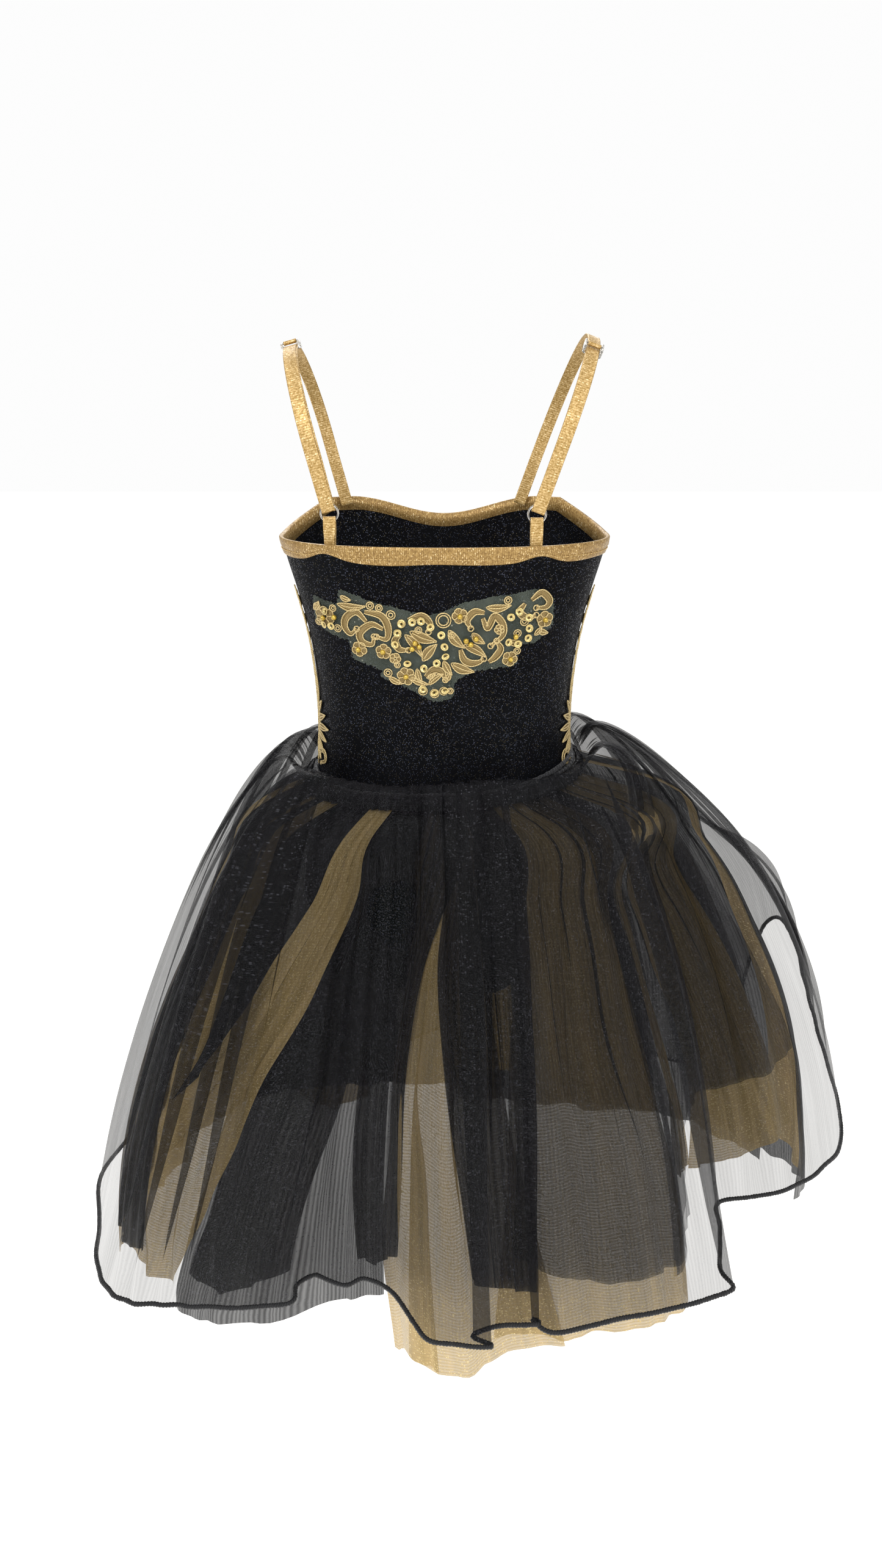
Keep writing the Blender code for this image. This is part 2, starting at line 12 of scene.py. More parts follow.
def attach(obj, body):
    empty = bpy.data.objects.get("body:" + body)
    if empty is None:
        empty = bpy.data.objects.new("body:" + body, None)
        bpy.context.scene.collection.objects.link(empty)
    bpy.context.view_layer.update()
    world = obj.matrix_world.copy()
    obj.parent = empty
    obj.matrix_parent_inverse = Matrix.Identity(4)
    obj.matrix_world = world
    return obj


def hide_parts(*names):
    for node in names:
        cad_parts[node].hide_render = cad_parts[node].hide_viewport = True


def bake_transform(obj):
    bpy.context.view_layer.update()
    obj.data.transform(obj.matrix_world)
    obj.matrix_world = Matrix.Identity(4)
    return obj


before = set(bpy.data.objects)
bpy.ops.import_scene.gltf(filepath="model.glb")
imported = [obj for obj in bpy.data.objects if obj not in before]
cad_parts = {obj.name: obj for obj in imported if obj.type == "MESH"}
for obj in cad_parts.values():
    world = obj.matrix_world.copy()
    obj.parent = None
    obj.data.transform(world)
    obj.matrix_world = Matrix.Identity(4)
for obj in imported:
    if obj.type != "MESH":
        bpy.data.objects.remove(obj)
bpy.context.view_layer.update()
mm = 0.001
turn = 2 * math.pi


# ---- reading tables, curves and surfaces
def readRows(rows, key):  # a smooth reading of a table between its rows
    rows = np.asarray(rows, float)
    rows = rows[np.argsort(rows[:, 0])]
    at, value = rows[:, 0], rows[:, 1:]
    slope = np.gradient(value, at, axis=0)
    key = np.clip(np.asarray(key, float), at[0], at[-1])
    low = np.clip(np.searchsorted(at, key, side="right") - 1, 0, len(at) - 2)
    step = (at[low + 1] - at[low])[..., None]
    s = (key - at[low])[..., None] / step
    return (
        (2 * s**3 - 3 * s**2 + 1) * value[low] + (s**3 - 2 * s**2 + s) * step * slope[low]
        + (3 * s**2 - 2 * s**3) * value[low + 1] + (s**3 - s**2) * step * slope[low + 1]
    )


def ease(value, start, end):
    s = np.clip((np.asarray(value, float) - start) / (end - start), 0, 1)
    return s * s * (3 - 2 * s)


def lengthAlong(line):  # the running length at each point of a line
    return np.concatenate([[0], np.cumsum(np.linalg.norm(np.diff(line, axis=0), axis=1))])


def smoothLine(points, step, closed=False):  # a curve through points, at even steps of length
    points = np.asarray(points, float)
    if closed:
        points = np.vstack([points[-2:], points, points[:3]])
    else:
        points = np.vstack([2 * points[0] - points[1], points, 2 * points[-1] - points[-2]])
    s = np.linspace(0, 1, 12, endpoint=False)[:, None]
    parts = []
    for a, b, c, d in zip(points, points[1:], points[2:], points[3:]):
        parts.append(0.5 * (2 * b + (c - a) * s + (2 * a - 5 * b + 4 * c - d) * s**2
                            + (3 * b - 3 * c + d - a) * s**3))
    dense = np.vstack(parts if not closed else parts[1:-1])
    dense = np.vstack([dense, points[-2] if not closed else dense[:1]])
    along = lengthAlong(dense)
    count = max(4, int(round(along[-1] / step)))
    places = np.linspace(0, along[-1], count + 1)
    if closed:
        places = places[:-1]
    return np.stack([np.interp(places, along, dense[:, k]) for k in range(dense.shape[1])], 1)


def wander(u, seed, cycles, count=6):  # a repeating uneven wave round a closed line, about -1 to 1
    draw = random.Random(seed)
    total = 0
    for _ in range(count):
        total = total + np.sin(turn * (int(cycles * draw.uniform(0.6, 1.5)) * u + draw.random()))
    return total / math.sqrt(count)


# ---- making pieces
def addPiece(name, points, faces, material, cloth=None, closed=False):
    mesh = bpy.data.meshes.new(name)
    mesh.from_pydata(np.asarray(points, float).tolist(), [], [list(map(int, f)) for f in faces])
    if cloth is not None:
        flat = np.zeros((len(mesh.vertices), 3), np.float32)
        flat[:, : cloth.shape[-1]] = np.asarray(cloth, np.float32).reshape(len(flat), -1)
        mesh.attributes.new("cloth", "FLOAT_VECTOR", "POINT").data.foreach_set("vector", flat.ravel())
    if closed:
        work = bmesh.new()
        work.from_mesh(mesh)
        bmesh.ops.recalc_face_normals(work, faces=work.faces)
        work.to_mesh(mesh)
        work.free()
    mesh.materials.append(material)
    mesh.shade_smooth()
    made = bpy.data.objects.new(name, mesh)
    bpy.context.scene.collection.objects.link(made)
    return made


def gridFaces(rows, columns, wrap, first=0):
    i, j = np.meshgrid(np.arange(rows - 1), np.arange(columns if wrap else columns - 1), indexing="ij")
    k = (j + 1) % columns
    return (np.stack([i * columns + j, (i + 1) * columns + j, (i + 1) * columns + k,
                      i * columns + k], -1).reshape(-1, 4) + first)


def addSheet(name, grid, cloth, material, wrap=False):  # one open ply of thin cloth
    rows, columns = grid.shape[:2]
    return addPiece(name, grid.reshape(-1, 3), gridFaces(rows, columns, wrap), material,
                    cloth.reshape(-1, 2))


def gridNormals(grid, wrap):
    down = np.gradient(grid, axis=0)
    if wrap:
        across = (np.roll(grid, -1, 1) - np.roll(grid, 1, 1)) / 2
    else:
        across = np.gradient(grid, axis=1)
    out = np.cross(down, across)
    return out / np.maximum(np.linalg.norm(out, axis=-1, keepdims=True), 1e-12)


def addShell(name, outer, thick, cloth, material, wrap=False):  # a closed ply with real thickness
    rows, columns = outer.shape[:2]
    inner = outer - gridNormals(outer, wrap) * thick
    count = rows * columns
    faces = [*gridFaces(rows, columns, wrap), *gridFaces(rows, columns, wrap, count)[:, ::-1]]
    for i in (0, rows - 1):
        for j in range(columns if wrap else columns - 1):
            k = (j + 1) % columns
            a, b = i * columns + j, i * columns + k
            faces.append((a, b, b + count, a + count))
    if not wrap:
        for j in (0, columns - 1):
            for i in range(rows - 1):
                a, b = i * columns + j, (i + 1) * columns + j
                faces.append((a, b, b + count, a + count))
    points = np.concatenate([outer.reshape(-1, 3), inner.reshape(-1, 3)])
    return addPiece(name, points, faces, material, np.tile(cloth.reshape(-1, 2), (2, 1)), True)


def lineFrames(line, closed, facing=None):  # side and up directions along a line
    run = (np.roll(line, -1, 0) - np.roll(line, 1, 0)) if closed else np.gradient(line, axis=0)
    run = run / np.maximum(np.linalg.norm(run, axis=1, keepdims=True), 1e-12)
    if facing is None:
        up = np.zeros_like(run)
        start = np.array([0, 0, 1.0]) if abs(run[0][2]) < 0.8 else np.array([0, 1.0, 0])
        for i, r in enumerate(run):
            start = start - r * (start @ r)
            start = start / np.linalg.norm(start)
            up[i] = start
    else:
        up = facing - run * np.sum(facing * run, axis=1, keepdims=True)
        up = up / np.maximum(np.linalg.norm(up, axis=1, keepdims=True), 1e-12)
    return np.cross(run, up), up


def tubeMesh(line, radius, sides, closed=False, facing=None, flat=1.0, profile=None):
    # points and faces of a cord; flat squashes it towards what it lies on
    line = np.asarray(line, float)
    side, up = lineFrames(line, closed, facing)
    if profile is None:
        around = np.arange(sides) * turn / sides
        profile = np.stack([np.cos(around), np.sin(around) * flat], 1)
    radius = np.broadcast_to(np.asarray(radius, float), (len(line),))
    count, sides = len(line), len(profile)
    rings = (line[:, None] + side[:, None] * (profile[None, :, :1] * radius[:, None, None])
             + up[:, None] * (profile[None, :, 1:] * radius[:, None, None]))
    along = lengthAlong(line)
    girth = lengthAlong(profile)
    cloth = np.stack(np.broadcast_arrays(girth[None] * radius[:, None], along[:, None]), -1)
    i, j = np.meshgrid(np.arange(count if closed else count - 1), np.arange(sides), indexing="ij")
    k, n = (j + 1) % sides, (i + 1) % count
    faces = list(np.stack([i * sides + j, i * sides + k, n * sides + k, n * sides + j], -1).reshape(-1, 4))
    if not closed:
        faces += [list(range(sides))[::-1], list(range((count - 1) * sides, count * sides))]
    return rings.reshape(-1, 3), faces, cloth.reshape(-1, 2)


def addTubes(name, tubes, material):  # many cords in one piece
    points, faces, cloths, first = [], [], [], 0
    for tubePoints, tubeFaces, cloth in tubes:
        points.append(tubePoints)
        faces += [[v + first for v in f] for f in tubeFaces]
        cloths.append(cloth)
        first += len(tubePoints)
    return addPiece(name, np.concatenate(points), faces, material, np.concatenate(cloths), True)


# ---- materials
def linear(code, alpha=1.0):  # sRGB hex to the renderer's linear colour
    parts = [int(code[i:i + 2], 16) / 255 for i in (1, 3, 5)]
    return (*[c / 12.92 if c <= 0.04045 else ((c + 0.055) / 1.055) ** 2.4 for c in parts], alpha)


def addNode(material, kind, settings=None, links=None):
    node = material.node_tree.nodes.new(kind)
    for name, value in (settings or {}).items():
        if name == "stops":
            ramp = node.color_ramp.elements
            while len(ramp) < len(value):
                ramp.new(0.5)
            for stop, (place, colour) in zip(ramp, value):
                stop.position, stop.color = place, colour
        elif isinstance(name, int) or name in node.inputs:
            node.inputs[name].default_value = value
        else:
            setattr(node, name, value)
    for name, source in (links or {}).items():
        material.node_tree.links.new(source, node.inputs[name])
    return node


def startMaterial(name, settings):
    material = bpy.data.materials.new(name)
    material.use_nodes = True
    shader = material.node_tree.nodes["Principled BSDF"]
    for socket, value in settings.items():
        shader.inputs[socket].default_value = value
    place = addNode(material, "ShaderNodeAttribute", {"attribute_name": "cloth"}).outputs["Vector"]
    return material, shader, place


def join(material, source, shader, socket):
    material.node_tree.links.new(source, shader.inputs[socket])


def bandScale(period):  # the wave texture repeats every turn / 20 of its own units
    return turn / (20 * period)


def glitterKnit():
    # foil-dotted nylon spandex, knitted and heat-set: near black, soft sheen, cold pinprick sparkle
    look = {"ground": "#040406", "lifted": "#0A0B0E", "speckCold": "#4C505E", "speckGold": "#4A4436",
            "speckSize": 0.9 * mm, "speckShare": 0.30, "speckReach": 0.36,
            "loop": 1.3 * mm}  # real dots are 0.3 mm
    m, shader, place = startMaterial("glitterSpandexKnit", {
        "IOR": 1.5, "Specular IOR Level": 0.045, "Sheen Weight": 0.008, "Sheen Roughness": 0.5,
        "Sheen Tint": linear("#9AA0B4")})
    cells = addNode(m, "ShaderNodeTexVoronoi", {"voronoi_dimensions": "2D", "Scale": 1 / look["speckSize"]},
                    {"Vector": place})
    split = addNode(m, "ShaderNodeSeparateColor", {}, {"Color": cells.outputs["Color"]})
    chosen = addNode(m, "ShaderNodeMath", {"operation": "LESS_THAN", 1: look["speckShare"]},
                     {0: split.outputs[0]})
    near = addNode(m, "ShaderNodeMath", {"operation": "LESS_THAN", 1: look["speckReach"]},
                   {0: cells.outputs["Distance"]})
    speck = addNode(m, "ShaderNodeMath", {"operation": "MULTIPLY"},
                    {0: chosen.outputs[0], 1: near.outputs[0]})
    shine = addNode(m, "ShaderNodeMath", {"operation": "MULTIPLY"},
                    {0: speck.outputs[0], 1: split.outputs[1]})
    cloud = addNode(m, "ShaderNodeTexNoise", {"Scale": 22.0, "Detail": 4.0}, {"Vector": place})
    ground = addNode(m, "ShaderNodeValToRGB", {"stops": ((0.35, linear(look["ground"])),
                     (0.75, linear(look["lifted"])))}, {"Fac": cloud.outputs["Fac"]})
    speckColour = addNode(m, "ShaderNodeValToRGB", {"stops": ((0.55, linear(look["speckCold"])),
                          (0.72, linear(look["speckGold"])))}, {"Fac": split.outputs[2]})
    colour = addNode(m, "ShaderNodeMix", {"data_type": "RGBA"}, {"Factor": shine.outputs[0],
                     6: ground.outputs["Color"], 7: speckColour.outputs["Color"]})
    join(m, colour.outputs[2], shader, "Base Color")
    rough = addNode(m, "ShaderNodeMapRange", {3: 0.62, 4: 0.3}, {0: speck.outputs[0]})
    join(m, rough.outputs[0], shader, "Roughness")
    join(m, shine.outputs[0], shader, "Metallic")
    wales = addNode(m, "ShaderNodeTexWave", {"Scale": bandScale(look["loop"]), "Distortion": 1.2,
                    "Detail": 1.0}, {"Vector": place})
    bump = addNode(m, "ShaderNodeBump", {"Strength": 0.25, "Distance": 0.1 * mm},
                   {"Height": wales.outputs["Fac"]})
    join(m, bump.outputs["Normal"], shader, "Normal")
    return m


def glitterElastic(name, tint, deep, ribs):
    # lurex elastic, woven with flat metallised yarn: warm gold, ribbed, glittering point by point
    look = {"grain": 0.9 * mm, "rib": ribs}  # real grains are 0.2 mm
    m, shader, place = startMaterial(name, {
        "Metallic": 0.35, "IOR": 1.5, "Specular IOR Level": 0.3, "Sheen Weight": 0.05,
        "Sheen Roughness": 0.4, "Sheen Tint": linear("#FFE3AE")})
    grains = addNode(m, "ShaderNodeTexVoronoi", {"voronoi_dimensions": "2D", "Scale": 1 / look["grain"]},
                     {"Vector": place})
    split = addNode(m, "ShaderNodeSeparateColor", {}, {"Color": grains.outputs["Color"]})
    rib = addNode(m, "ShaderNodeTexWave", {"bands_direction": "Y", "Scale": bandScale(look["rib"]),
                  "Distortion": 0.6}, {"Vector": place})
    cloud = addNode(m, "ShaderNodeTexNoise", {"Scale": 90.0, "Detail": 3.0}, {"Vector": place})
    mixed = addNode(m, "ShaderNodeMath", {"operation": "MULTIPLY_ADD", 1: 0.35}, {0: rib.outputs["Fac"],
                    2: split.outputs[0]})
    mixed = addNode(m, "ShaderNodeMath", {"operation": "MULTIPLY_ADD", 1: 0.5}, {0: cloud.outputs["Fac"],
                    2: mixed.outputs[0]})
    colour = addNode(m, "ShaderNodeValToRGB", {"stops": ((0.25, linear(deep)), (0.8, linear(tint)),
                     (0.97, linear("#FFE9BC")))}, {"Fac": addNode(m, "ShaderNodeMath", {
                         "operation": "MULTIPLY", 1: 0.58}, {0: mixed.outputs[0]}).outputs[0]})
    join(m, colour.outputs["Color"], shader, "Base Color")
    rough = addNode(m, "ShaderNodeMapRange", {3: 0.28, 4: 0.55}, {0: split.outputs[1]})
    join(m, rough.outputs[0], shader, "Roughness")
    bump = addNode(m, "ShaderNodeBump", {"Strength": 0.5, "Distance": 0.25 * mm},
                   {"Height": mixed.outputs[0]})
    join(m, bump.outputs["Normal"], shader, "Normal")
    return m


def laceThread(name, tint, deep, twist):
    # rayon and lurex cord, twisted and couched: satin gold with a slanting twist line
    m, shader, place = startMaterial(name, {
        "Metallic": 0.3, "IOR": 1.5, "Sheen Weight": 0.15, "Sheen Roughness": 0.4,
        "Sheen Tint": linear("#FFF0CC")})
    slant = addNode(m, "ShaderNodeMapping", {"Rotation": (0, 0, math.radians(38))}, {"Vector": place})
    ply = addNode(m, "ShaderNodeTexWave", {"Scale": bandScale(twist), "Distortion": 0.5},
                  {"Vector": slant.outputs[0]})
    cloud = addNode(m, "ShaderNodeTexNoise", {"Scale": 220.0, "Detail": 2.0}, {"Vector": place})
    mixed = addNode(m, "ShaderNodeMath", {"operation": "MULTIPLY_ADD", 1: 0.6}, {0: cloud.outputs["Fac"],
                    2: addNode(m, "ShaderNodeMath", {"operation": "MULTIPLY", 1: 0.55},
                               {0: ply.outputs["Fac"]}).outputs[0]})
    colour = addNode(m, "ShaderNodeValToRGB", {"stops": ((0.15, linear(deep)), (0.75, linear(tint)))},
                     {"Fac": mixed.outputs[0]})
    join(m, colour.outputs["Color"], shader, "Base Color")
    rough = addNode(m, "ShaderNodeMapRange", {3: 0.32, 4: 0.6}, {0: cloud.outputs["Fac"]})
    join(m, rough.outputs[0], shader, "Roughness")
    bump = addNode(m, "ShaderNodeBump", {"Strength": 0.6, "Distance": 0.2 * mm},
                   {"Height": ply.outputs["Fac"]})
    join(m, bump.outputs["Normal"], shader, "Normal")
    return m


def sheerCloth(name, look):
    # a sheer ply: how much it hides follows its woven lines, its streaks and its metallic specks
    foilShare = look.get("foil", 0.05)  # how metallic a speck is, and how much more it hides
    m, shader, place = startMaterial(name, {
        "IOR": 1.5, "Specular IOR Level": look["gloss"], "Sheen Weight": look["sheen"],
        "Sheen Roughness": 0.35, "Sheen Tint": linear(look["sheenTint"])})
    lines = addNode(m, "ShaderNodeTexWave", {"bands_direction": look["way"],
                    "Scale": bandScale(look["line"]), "Distortion": 1.0, "Detail": 1.0}, {"Vector": place})
    stretched = addNode(m, "ShaderNodeMapping", {"Scale": (1 / look["streak"], 1 / look["streakRun"], 1)},
                        {"Vector": place})
    streaks = addNode(m, "ShaderNodeTexNoise", {"Scale": 1.0, "Detail": 3.0},
                      {"Vector": stretched.outputs[0]})
    cells = addNode(m, "ShaderNodeTexVoronoi", {"voronoi_dimensions": "2D", "Scale": 1 / look["speckSize"]},
                    {"Vector": place})
    split = addNode(m, "ShaderNodeSeparateColor", {}, {"Color": cells.outputs["Color"]})
    chosen = addNode(m, "ShaderNodeMath", {"operation": "LESS_THAN", 1: look["speckShare"]},
                     {0: split.outputs[0]})
    near = addNode(m, "ShaderNodeMath", {"operation": "LESS_THAN", 1: 0.38}, {0: cells.outputs["Distance"]})
    speck = addNode(m, "ShaderNodeMath", {"operation": "MULTIPLY"},
                    {0: chosen.outputs[0], 1: near.outputs[0]})
    shine = addNode(m, "ShaderNodeMath", {"operation": "MULTIPLY"},
                    {0: speck.outputs[0], 1: split.outputs[1]})
    ground = addNode(m, "ShaderNodeValToRGB", {"stops": ((0.3, linear(look["deep"])),
                     (0.7, linear(look["tint"])))}, {"Fac": streaks.outputs["Fac"]})
    foilColour = addNode(m, "ShaderNodeRGB").outputs[0]
    foilColour.default_value = linear(look["speck"])
    colour = addNode(m, "ShaderNodeMix", {"data_type": "RGBA"}, {"Factor": shine.outputs[0],
                     6: ground.outputs["Color"], 7: foilColour})
    join(m, colour.outputs[2], shader, "Base Color")
    hide = addNode(m, "ShaderNodeMath",
                   {"operation": "MULTIPLY_ADD", 1: look["streakDepth"], 2: look["hides"]
                   - look["streakDepth"] / 2 - look["lineDepth"] / 2}, {0: streaks.outputs["Fac"]})
    hide = addNode(m, "ShaderNodeMath", {"operation": "MULTIPLY_ADD", 1: look["lineDepth"]},
                   {0: lines.outputs["Fac"], 2: hide.outputs[0]})
    hide = addNode(m, "ShaderNodeMath", {"operation": "MULTIPLY_ADD", 1: foilShare, "use_clamp": True},
                   {0: shine.outputs[0], 2: hide.outputs[0]})
    join(m, hide.outputs[0], shader, "Alpha")
    foil = addNode(m, "ShaderNodeMath", {"operation": "MULTIPLY", 1: foilShare},
                   {0: shine.outputs[0]})
    join(m, foil.outputs[0], shader, "Metallic")
    rough = addNode(m, "ShaderNodeMapRange", {3: look["rough"], 4: 0.4}, {0: speck.outputs[0]})
    join(m, rough.outputs[0], shader, "Roughness")
    bump = addNode(m, "ShaderNodeBump", {"Strength": 0.15, "Distance": 0.15 * mm},
                   {"Height": lines.outputs["Fac"]})
    join(m, bump.outputs["Normal"], shader, "Normal")
    return m


def stitchedCord(name, tint, deep, twist, roughness):
    # spun polyester overlock thread wound over a rolled edge: matt black with slanting stitches
    m, shader, place = startMaterial(name, {"IOR": 1.5, "Specular IOR Level": 0.3, "Sheen Weight": 0.2,
                                            "Sheen Roughness": 0.5})
    slant = addNode(m, "ShaderNodeMapping", {"Rotation": (0, 0, math.radians(65))}, {"Vector": place})
    wound = addNode(m, "ShaderNodeTexWave", {"Scale": bandScale(twist), "Distortion": 0.4},
                    {"Vector": slant.outputs[0]})
    colour = addNode(m, "ShaderNodeValToRGB", {"stops": ((0.2, linear(deep)), (0.85, linear(tint)))},
                     {"Fac": wound.outputs["Fac"]})
    join(m, colour.outputs["Color"], shader, "Base Color")
    fuzz = addNode(m, "ShaderNodeTexNoise", {"Scale": 300.0, "Detail": 2.0}, {"Vector": place})
    rough = addNode(m, "ShaderNodeMapRange", {3: roughness - 0.12, 4: roughness + 0.12},
                    {0: fuzz.outputs["Fac"]})
    join(m, rough.outputs[0], shader, "Roughness")
    bump = addNode(m, "ShaderNodeBump", {"Strength": 0.6, "Distance": 0.3 * mm},
                   {"Height": wound.outputs["Fac"]})
    join(m, bump.outputs["Normal"], shader, "Normal")
    return m


def mouldedClear():
    # clear injection-moulded polycarbonate: glassy, with faint flow marks and handling haze
    m, shader, place = startMaterial("mouldedClearPolycarbonate", {
        "Base Color": linear("#F4F1EA"), "IOR": 1.58, "Transmission Weight": 0.92})
    haze = addNode(m, "ShaderNodeTexNoise", {"Scale": 350.0, "Detail": 3.0}, {"Vector": place})
    rough = addNode(m, "ShaderNodeMapRange", {3: 0.04, 4: 0.22}, {0: haze.outputs["Fac"]})
    join(m, rough.outputs[0], shader, "Roughness")
    tint = addNode(m, "ShaderNodeValToRGB", {"stops": ((0.3, linear("#DFDAD0")), (0.7, linear("#FBFAF6")))},
                   {"Fac": haze.outputs["Fac"]})
    join(m, tint.outputs["Color"], shader, "Base Color")
    bump = addNode(m, "ShaderNodeBump", {"Strength": 0.1, "Distance": 0.05 * mm},
                   {"Height": haze.outputs["Fac"]})
    join(m, bump.outputs["Normal"], shader, "Normal")
    return m


def metallisedDisc():
    # vacuum-metallised plastic sequin: bright champagne foil with fine rolled lines
    m, shader, place = startMaterial("metallisedSequinFoil", {"Metallic": 0.85})
    marks = addNode(m, "ShaderNodeTexNoise", {"Scale": 500.0, "Detail": 3.0}, {"Vector": place})
    colour = addNode(m, "ShaderNodeValToRGB",
                     {"stops": ((0.3, linear("#B39A5C")), (0.7, linear("#DCC98E")))},
                     {"Fac": marks.outputs["Fac"]})
    join(m, colour.outputs["Color"], shader, "Base Color")
    rough = addNode(m, "ShaderNodeMapRange", {3: 0.14, 4: 0.34}, {0: marks.outputs["Fac"]})
    join(m, rough.outputs[0], shader, "Roughness")
    bump = addNode(m, "ShaderNodeBump", {"Strength": 0.2, "Distance": 0.05 * mm},
                   {"Height": marks.outputs["Fac"]})
    join(m, bump.outputs["Normal"], shader, "Normal")
    return m


def lacqueredPearl():
    # lacquered plastic pearl: deep amber gold under a clear glossy coat
    m, shader, place = startMaterial("lacqueredPearl", {
        "Metallic": 0.55, "Coat Weight": 0.8, "Coat Roughness": 0.08, "IOR": 1.5})
    marks = addNode(m, "ShaderNodeTexNoise", {"Scale": 400.0, "Detail": 2.0}, {"Vector": place})
    colour = addNode(m, "ShaderNodeValToRGB",
                     {"stops": ((0.3, linear("#9A7A14")), (0.7, linear("#CFAE3A")))},
                     {"Fac": marks.outputs["Fac"]})
    join(m, colour.outputs["Color"], shader, "Base Color")
    rough = addNode(m, "ShaderNodeMapRange", {3: 0.2, 4: 0.34}, {0: marks.outputs["Fac"]})
    join(m, rough.outputs[0], shader, "Roughness")
    return m


print("materials")
knit = glitterKnit()
goldElastic = glitterElastic("lurexFoldElastic", "#A98A54", "#7C5F34", 1.6 * mm)  # real ribs are 0.8 mm
strapElastic = glitterElastic("lurexStrapElastic", "#CBAC76", "#98783F", 1.6 * mm)
laceCord = laceThread("twistedLurexLaceCord", "#D2BC86", "#8A7040", 1.2 * mm)
laceFill = laceThread("couchedFillThread", "#9C8450", "#4C3C20", 0.9 * mm)
seamThread = laceThread("goldSewingThread", "#E3C488", "#A9843F", 0.8 * mm)
overlock = stitchedCord("blackOverlockThread", "#1B1B1E", "#050506", 1.6 * mm, 0.62)
blackElastic = stitchedCord("blackGatheredElastic", "#1D1D22", "#060608", 2.4 * mm, 0.5)
clearPlastic = mouldedClear()
sequinFoil = metallisedDisc()
pearl = lacqueredPearl()
# nylon tulle net with a soft hand: grey over white, near black where it folds on itself
blackNet = sheerCloth("softBlackNet", {
    "hides": 0.52, "streakDepth": 0.20, "lineDepth": 0.06, "way": "X", "line": 2.6 * mm,
    "streak": 9 * mm, "streakRun": 160 * mm, "deep": "#08080A", "tint": "#141416", "speck": "#45454A",
    "speckSize": 1.2 * mm, "speckShare": 0.22, "gloss": 0.10, "sheen": 0.04, "sheenTint": "#C8C8D0",
    "rough": 0.55})
# crisp glitter organza, woven from monofilament: dark with fine lines and a frost of points
organza = {
    "lineDepth": 0.10, "way": "X", "line": 2.6 * mm, "streak": 7 * mm, "streakRun": 120 * mm,
    "deep": "#060607", "tint": "#151516", "speck": "#34343A", "speckSize": 1.2 * mm, "speckShare": 0.16,
    "gloss": 0.12, "sheen": 0.05, "sheenTint": "#B8B8C2", "rough": 0.42}
blackOrganza = sheerCloth("glitterBlackOrganza", {**organza, "hides": 0.87, "streakDepth": 0.18})
# the same cloth where it hangs thin: what lies behind it shows through
blackVoile = sheerCloth("blackVoileOrganza", {**organza, "hides": 0.55, "streakDepth": 0.24})
# the same organza in gold: warm and half clear, lighter where it hangs alone
goldOrganza = sheerCloth("glitterGoldOrganza", {
    **organza, "hides": 0.84, "streakDepth": 0.14, "lineDepth": 0.12, "way": "Y", "foil": 0.6,
    "streak": 8 * mm, "deep": "#9A8350", "tint": "#BDA26E", "speck": "#DCC896", "speckShare": 0.26,
    "gloss": 0.2, "sheen": 0.08, "sheenTint": "#FFE9B4", "rough": 0.4})
# starched nylon net behind the applique: thin, grey green, its fine holes show as a haze
netBacking = sheerCloth("starchedNetBacking", {
    "hides": 0.30, "streakDepth": 0.06, "lineDepth": 0.02, "way": "DIAGONAL", "line": 1.9 * mm,
    "streak": 12 * mm, "streakRun": 12 * mm, "deep": "#5A6258", "tint": "#767E72", "speck": "#C8C8B4",
    "speckSize": 1.6 * mm, "speckShare": 0.05, "gloss": 0.15, "sheen": 0.1, "sheenTint": "#E8EAD8",
    "rough": 0.6})
goldNet = sheerCloth("goldLaceGround", {
    "hides": 0.22, "streakDepth": 0.10, "lineDepth": 0.26, "way": "DIAGONAL", "line": 2.2 * mm,
    "streak": 5 * mm, "streakRun": 5 * mm, "deep": "#8C7038", "tint": "#B4965A", "speck": "#FFE9B4",
    "speckSize": 1.6 * mm, "speckShare": 0.08, "gloss": 0.4, "sheen": 0.2, "sheenTint": "#FFE9B4",
    "rough": 0.55})


# ---- leotard
torso = {
    "rows": ((-0.100, .1236, .0907), (-0.145, .1137, .0865), (-0.169, .1068, .0843), (-0.193, .1008, .0820),
             (-0.231, .0955, .0780), (-0.270, .0942, .0760), (-0.3055, .0970, .0790),
             (-0.360, .1060, .0900),
             (-0.410, .1090, .0930), (-0.452, .0985, .0800), (-0.470, .0850, .0640), (-0.482, .0660, .0460),
             (-0.490, .0420, .0300)),
    "power": 2.3, "waist": -0.3055, "crotch": -0.490, "backNeck": -0.1305, "frontNeck": -0.1105,
    "dip": 0.0140, "thick": 1.0 * mm, "mean": 0.1,
}


def superRadius(angle, halfX, halfY):
    p = torso["power"]
    return ((np.abs(np.cos(angle)) / halfX) ** p + (np.abs(np.sin(angle)) / halfY) ** p) ** (-1 / p)


def torsoAt(angle, z, out=0.0):  # the body's surface by direction and height
    angle, z, out = np.broadcast_arrays(*(np.asarray(v, float) for v in (angle, z, out)))
    half = readRows(torso["rows"], z)
    radius = superRadius(angle, half[..., 0], half[..., 1]) + out
    return np.stack([radius * np.cos(angle), radius * np.sin(angle), z], -1)


def neckZ(angle):
    front = np.maximum(0, -np.sin(angle))
    rise = (torso["frontNeck"] - torso["backNeck"]) * np.minimum(1, front / 0.60) ** 2
    return torso["backNeck"] + rise - torso["dip"] * np.maximum(0, (front - 0.72) / 0.28) ** 2


